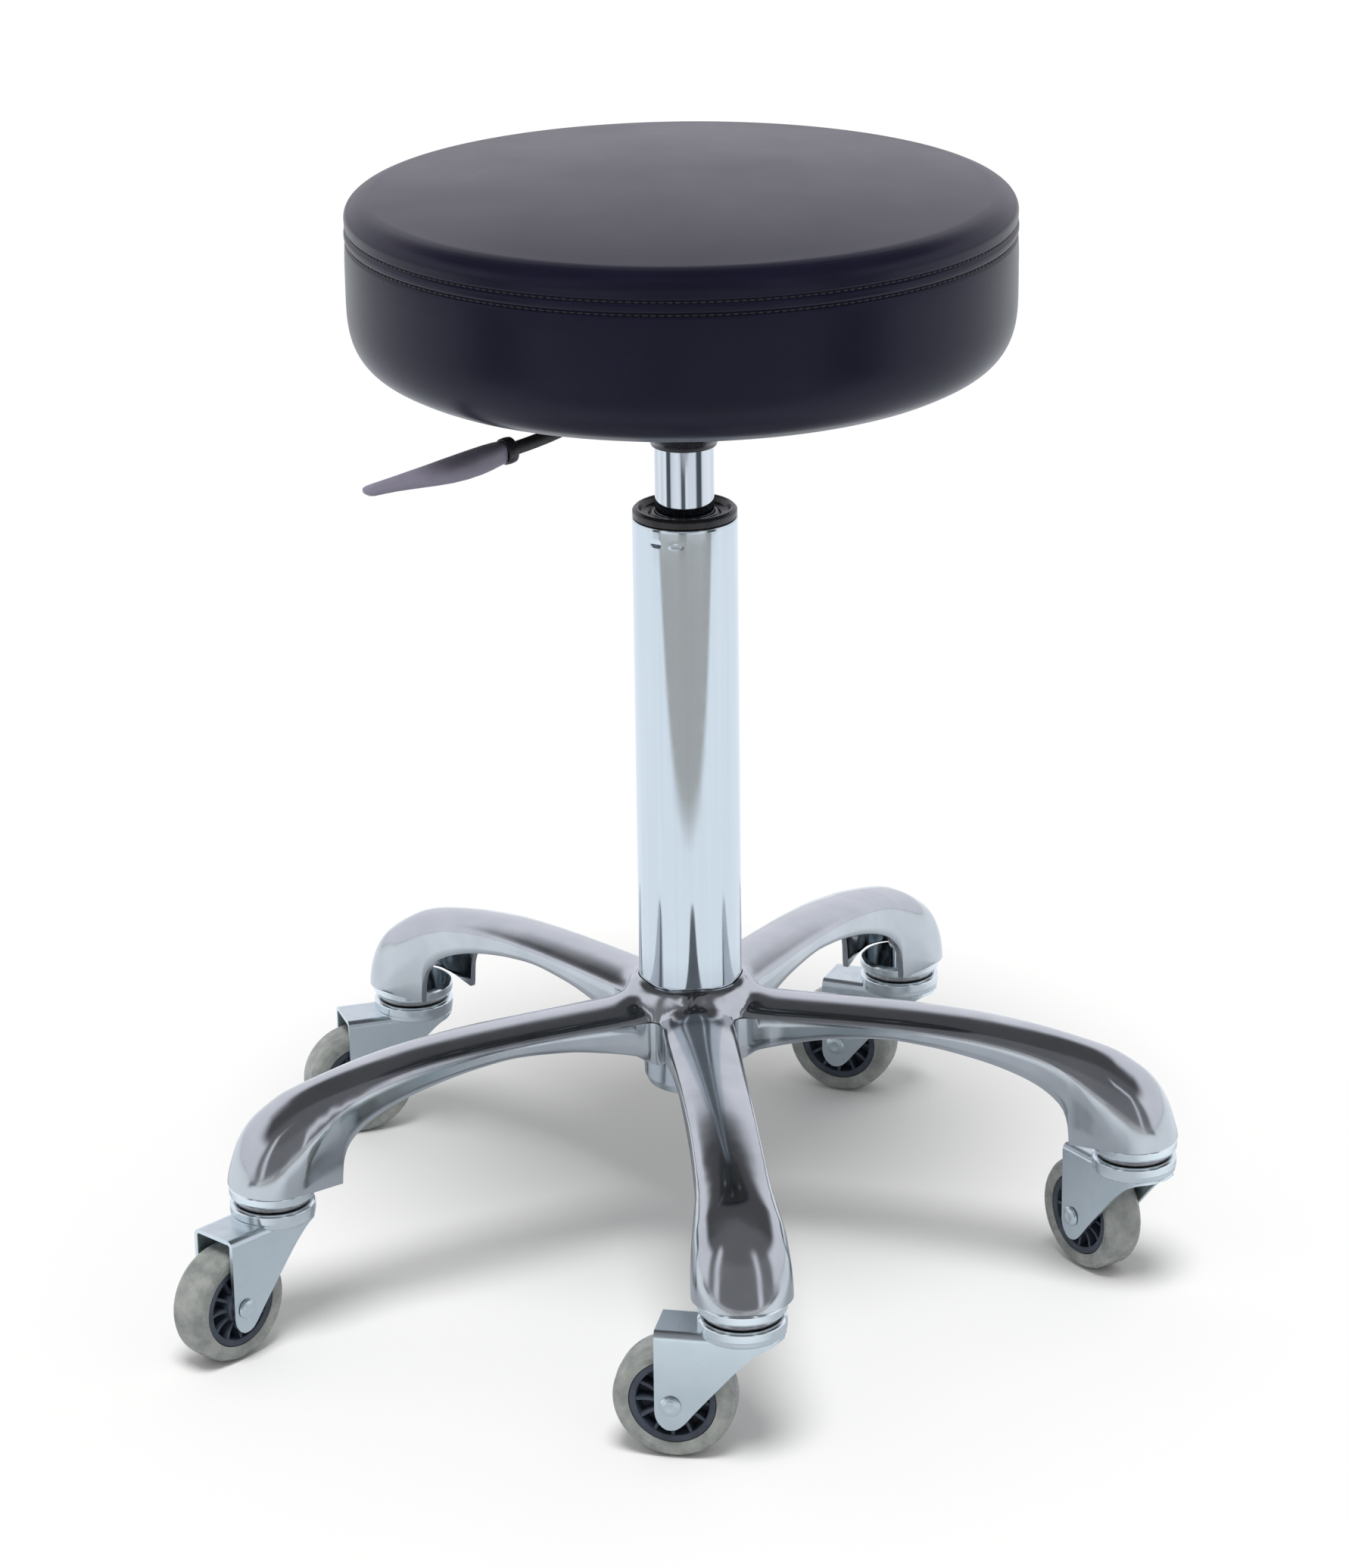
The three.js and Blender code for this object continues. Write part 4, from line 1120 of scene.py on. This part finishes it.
# ---------------------------------------------------------------- studio
def floor():
    """A white sheet. In reflections it is greyer near the stool, where the grey is a painted shadow of the
    stool, and in front, with dark bands far off.
    """
    bpy.ops.mesh.primitive_plane_add(size=1)
    plane = bpy.context.object
    plane.name = "floor"
    plane.scale = (9, 7, 1)
    plane.location = (0, 2.0, 0)
    n = Nodes("pale_floor", IOR=1.45)
    white = n.mix(n.noise(3, 3), (0.86, 0.86, 0.855), (0.89, 0.89, 0.885))
    place = n.add("ShaderNodeNewGeometry").outputs["Position"]
    minus = n.add("ShaderNodeVectorMath", {0: place, 1: (AXIS.x, AXIS.y, 0)}, operation="SUBTRACT")
    centred = minus.outputs["Vector"]
    reach = n.add("ShaderNodeVectorMath", {0: centred}, operation="LENGTH").outputs["Value"]
    split = n.add("ShaderNodeSeparateXYZ", {0: centred})
    towards = n.math("MULTIPLY", split.outputs["Y"], -1.0)
    ahead = n.ramp(towards, 0.60, 0.68)
    azimuth = n.math("ARCTAN2", split.outputs["X"], towards)
    # Painted shadow: in reflections the floor within about 0.3 m of the column's axis is painted grey for the
    # stool's shadow.
    shade = n.mix(n.ramp(reach, 0.30, 0.42), (0.47, 0.49, 0.53), (0.84, 0.875, 0.93))
    shade = n.mix(ahead, shade, (0.44, 0.43, 0.42))
    far = n.ramp(reach, 1.255, 1.285)
    shade = n.mix(far, shade, (0.8, 0.83, 0.87))
    for heading, width in ((-64, 13), (-5, 11), (58, 16)):
        off = n.math("ABSOLUTE", n.math("SUBTRACT", azimuth, math.radians(heading)))
        band = n.ramp(off, math.radians(width), math.radians(width * 0.5))
        shade = n.mix(n.math("MULTIPLY", band, far), shade, (0.08, 0.09, 0.1))
    n.color(n.mix(n.add("ShaderNodeLightPath").outputs["Is Glossy Ray"], white, shade))
    n.roughness(n.ramp(n.noise(8, 3), 0.3, 0.7, 0.85, 0.95))
    n.put(n.shader.inputs["Specular IOR Level"], 0.0)
    plane.data.materials.append(n.material)


def sun():
    """One wide soft light from the front and above. It casts the shadow behind the stool."""
    data = bpy.data.lights.new("softbox", "SUN")
    data.energy = 2.1
    data.angle = math.radians(24)
    lamp = bpy.data.objects.new("softbox", data)
    bpy.context.scene.collection.objects.link(lamp)
    lamp.rotation_euler = Vector((0.02, 0.33, -1)).to_track_quat("-Z", "Y").to_euler()
    lamp.visible_glossy = False
    lamp.visible_camera = False


def surroundings():
    """White all round for the camera.

    For reflections it is a studio that is bright behind and at the sides, with two tall lamps in front and a
    dark ceiling.
    """
    world = bpy.data.worlds.new("studio")
    bpy.context.scene.world = world
    world.use_nodes = True
    tree = world.node_tree
    tree.nodes.clear()
    add = tree.nodes.new
    link = tree.links.new

    def value(kind, a, b=None, operation=None):
        node = add(kind)
        if operation:
            node.operation = operation
        for i, v in enumerate((a, b)):
            if v is None:
                continue
            if isinstance(v, bpy.types.NodeSocket):
                link(v, node.inputs[i])
            else:
                node.inputs[i].default_value = v
        return node.outputs[0]

    def m(operation, a, b=None):
        return value("ShaderNodeMath", a, b, operation)

    def step(v, low, high):
        node = add("ShaderNodeMapRange")
        node.interpolation_type = "SMOOTHSTEP"
        link(v, node.inputs["Value"])
        node.inputs["From Min"].default_value = low
        node.inputs["From Max"].default_value = high
        return node.outputs["Result"]

    def bell(v, centre, width):
        off = m("DIVIDE", m("SUBTRACT", v, centre), width)
        return m("EXPONENT", m("MULTIPLY", m("MULTIPLY", off, off), -1.0))

    split = add("ShaderNodeSeparateXYZ")
    link(add("ShaderNodeTexCoord").outputs["Generated"], split.inputs[0])
    x, y, z = split.outputs
    flat = m("SQRT", m("MAXIMUM", m("SUBTRACT", 1.0, m("MULTIPLY", z, z)), 0.0001))
    across = m("DIVIDE", x, flat)
    back = step(m("DIVIDE", y, flat), -0.35, 0.25)
    side = step(m("ABSOLUTE", across), 0.84, 0.95)
    strips = m("ADD", bell(across, -0.70, 0.09), bell(across, 0.58, 0.08))
    wall = m("MAXIMUM", m("MULTIPLY", m("MAXIMUM", back, side), 0.97), 0.24)
    overhead = step(z, 0.46, 0.68)
    ceiling = m("SUBTRACT", 0.18, m("MULTIPLY", back, 0.08))
    room = m("ADD", m("MULTIPLY", wall, m("SUBTRACT", 1.0, overhead)), m("MULTIPLY", overhead, ceiling))
    lamps = m("MULTIPLY", strips, m("SUBTRACT", 1.0, back))
    lamps = m("MULTIPLY", lamps, m("SUBTRACT", 1.0, step(z, 0.72, 0.93)))
    room = m("MAXIMUM", room, lamps)
    above = step(z, -0.03, 0.02)
    seen = m("ADD", m("MULTIPLY", room, above), m("MULTIPLY", 0.5, m("SUBTRACT", 1.0, above)))

    path = add("ShaderNodeLightPath")
    glossy = path.outputs["Is Glossy Ray"]
    camera = path.outputs["Is Camera Ray"]
    plain = add("ShaderNodeBackground")
    plain.inputs["Color"].default_value = (1, 1, 1, 1)
    strength = m("ADD", m("MULTIPLY", camera, 0.7), 0.55)
    link(strength, plain.inputs["Strength"])
    studio = add("ShaderNodeBackground")
    studio.inputs["Color"].default_value = (0.93, 0.92, 1.0, 1)
    link(seen, studio.inputs["Strength"])
    mix = add("ShaderNodeMixShader")
    link(glossy, mix.inputs[0])
    link(plain.outputs[0], mix.inputs[1])
    link(studio.outputs[0], mix.inputs[2])
    link(mix.outputs[0], add("ShaderNodeOutputWorld").inputs["Surface"])


def camera():
    data = bpy.data.cameras.new("camera")
    data.sensor_fit = "VERTICAL"
    data.sensor_height = 36.0
    data.lens = 112.304363
    data.clip_end = 50
    obj = bpy.data.objects.new("camera", data)
    bpy.context.scene.collection.objects.link(obj)
    pitch, yaw, roll = math.radians(20.123), math.radians(-0.17), math.radians(-0.771)
    forward = Vector((math.sin(yaw) * math.cos(pitch), math.cos(yaw) * math.cos(pitch), -math.sin(pitch)))
    right = forward.cross(Vector((0, 0, 1))).normalized()
    up = right.cross(forward)
    r = math.cos(roll) * right + math.sin(roll) * up
    u = -math.sin(roll) * right + math.cos(roll) * up
    turned = Matrix((r, u, -forward)).transposed().to_4x4()
    obj.matrix_world = Matrix.Translation(AXIS + Vector((0, -2.20204, 1.05263))) @ turned
    bpy.context.scene.camera = obj


floor()
sun()
surroundings()
camera()
bpy.context.scene.view_settings.view_transform = "Standard"
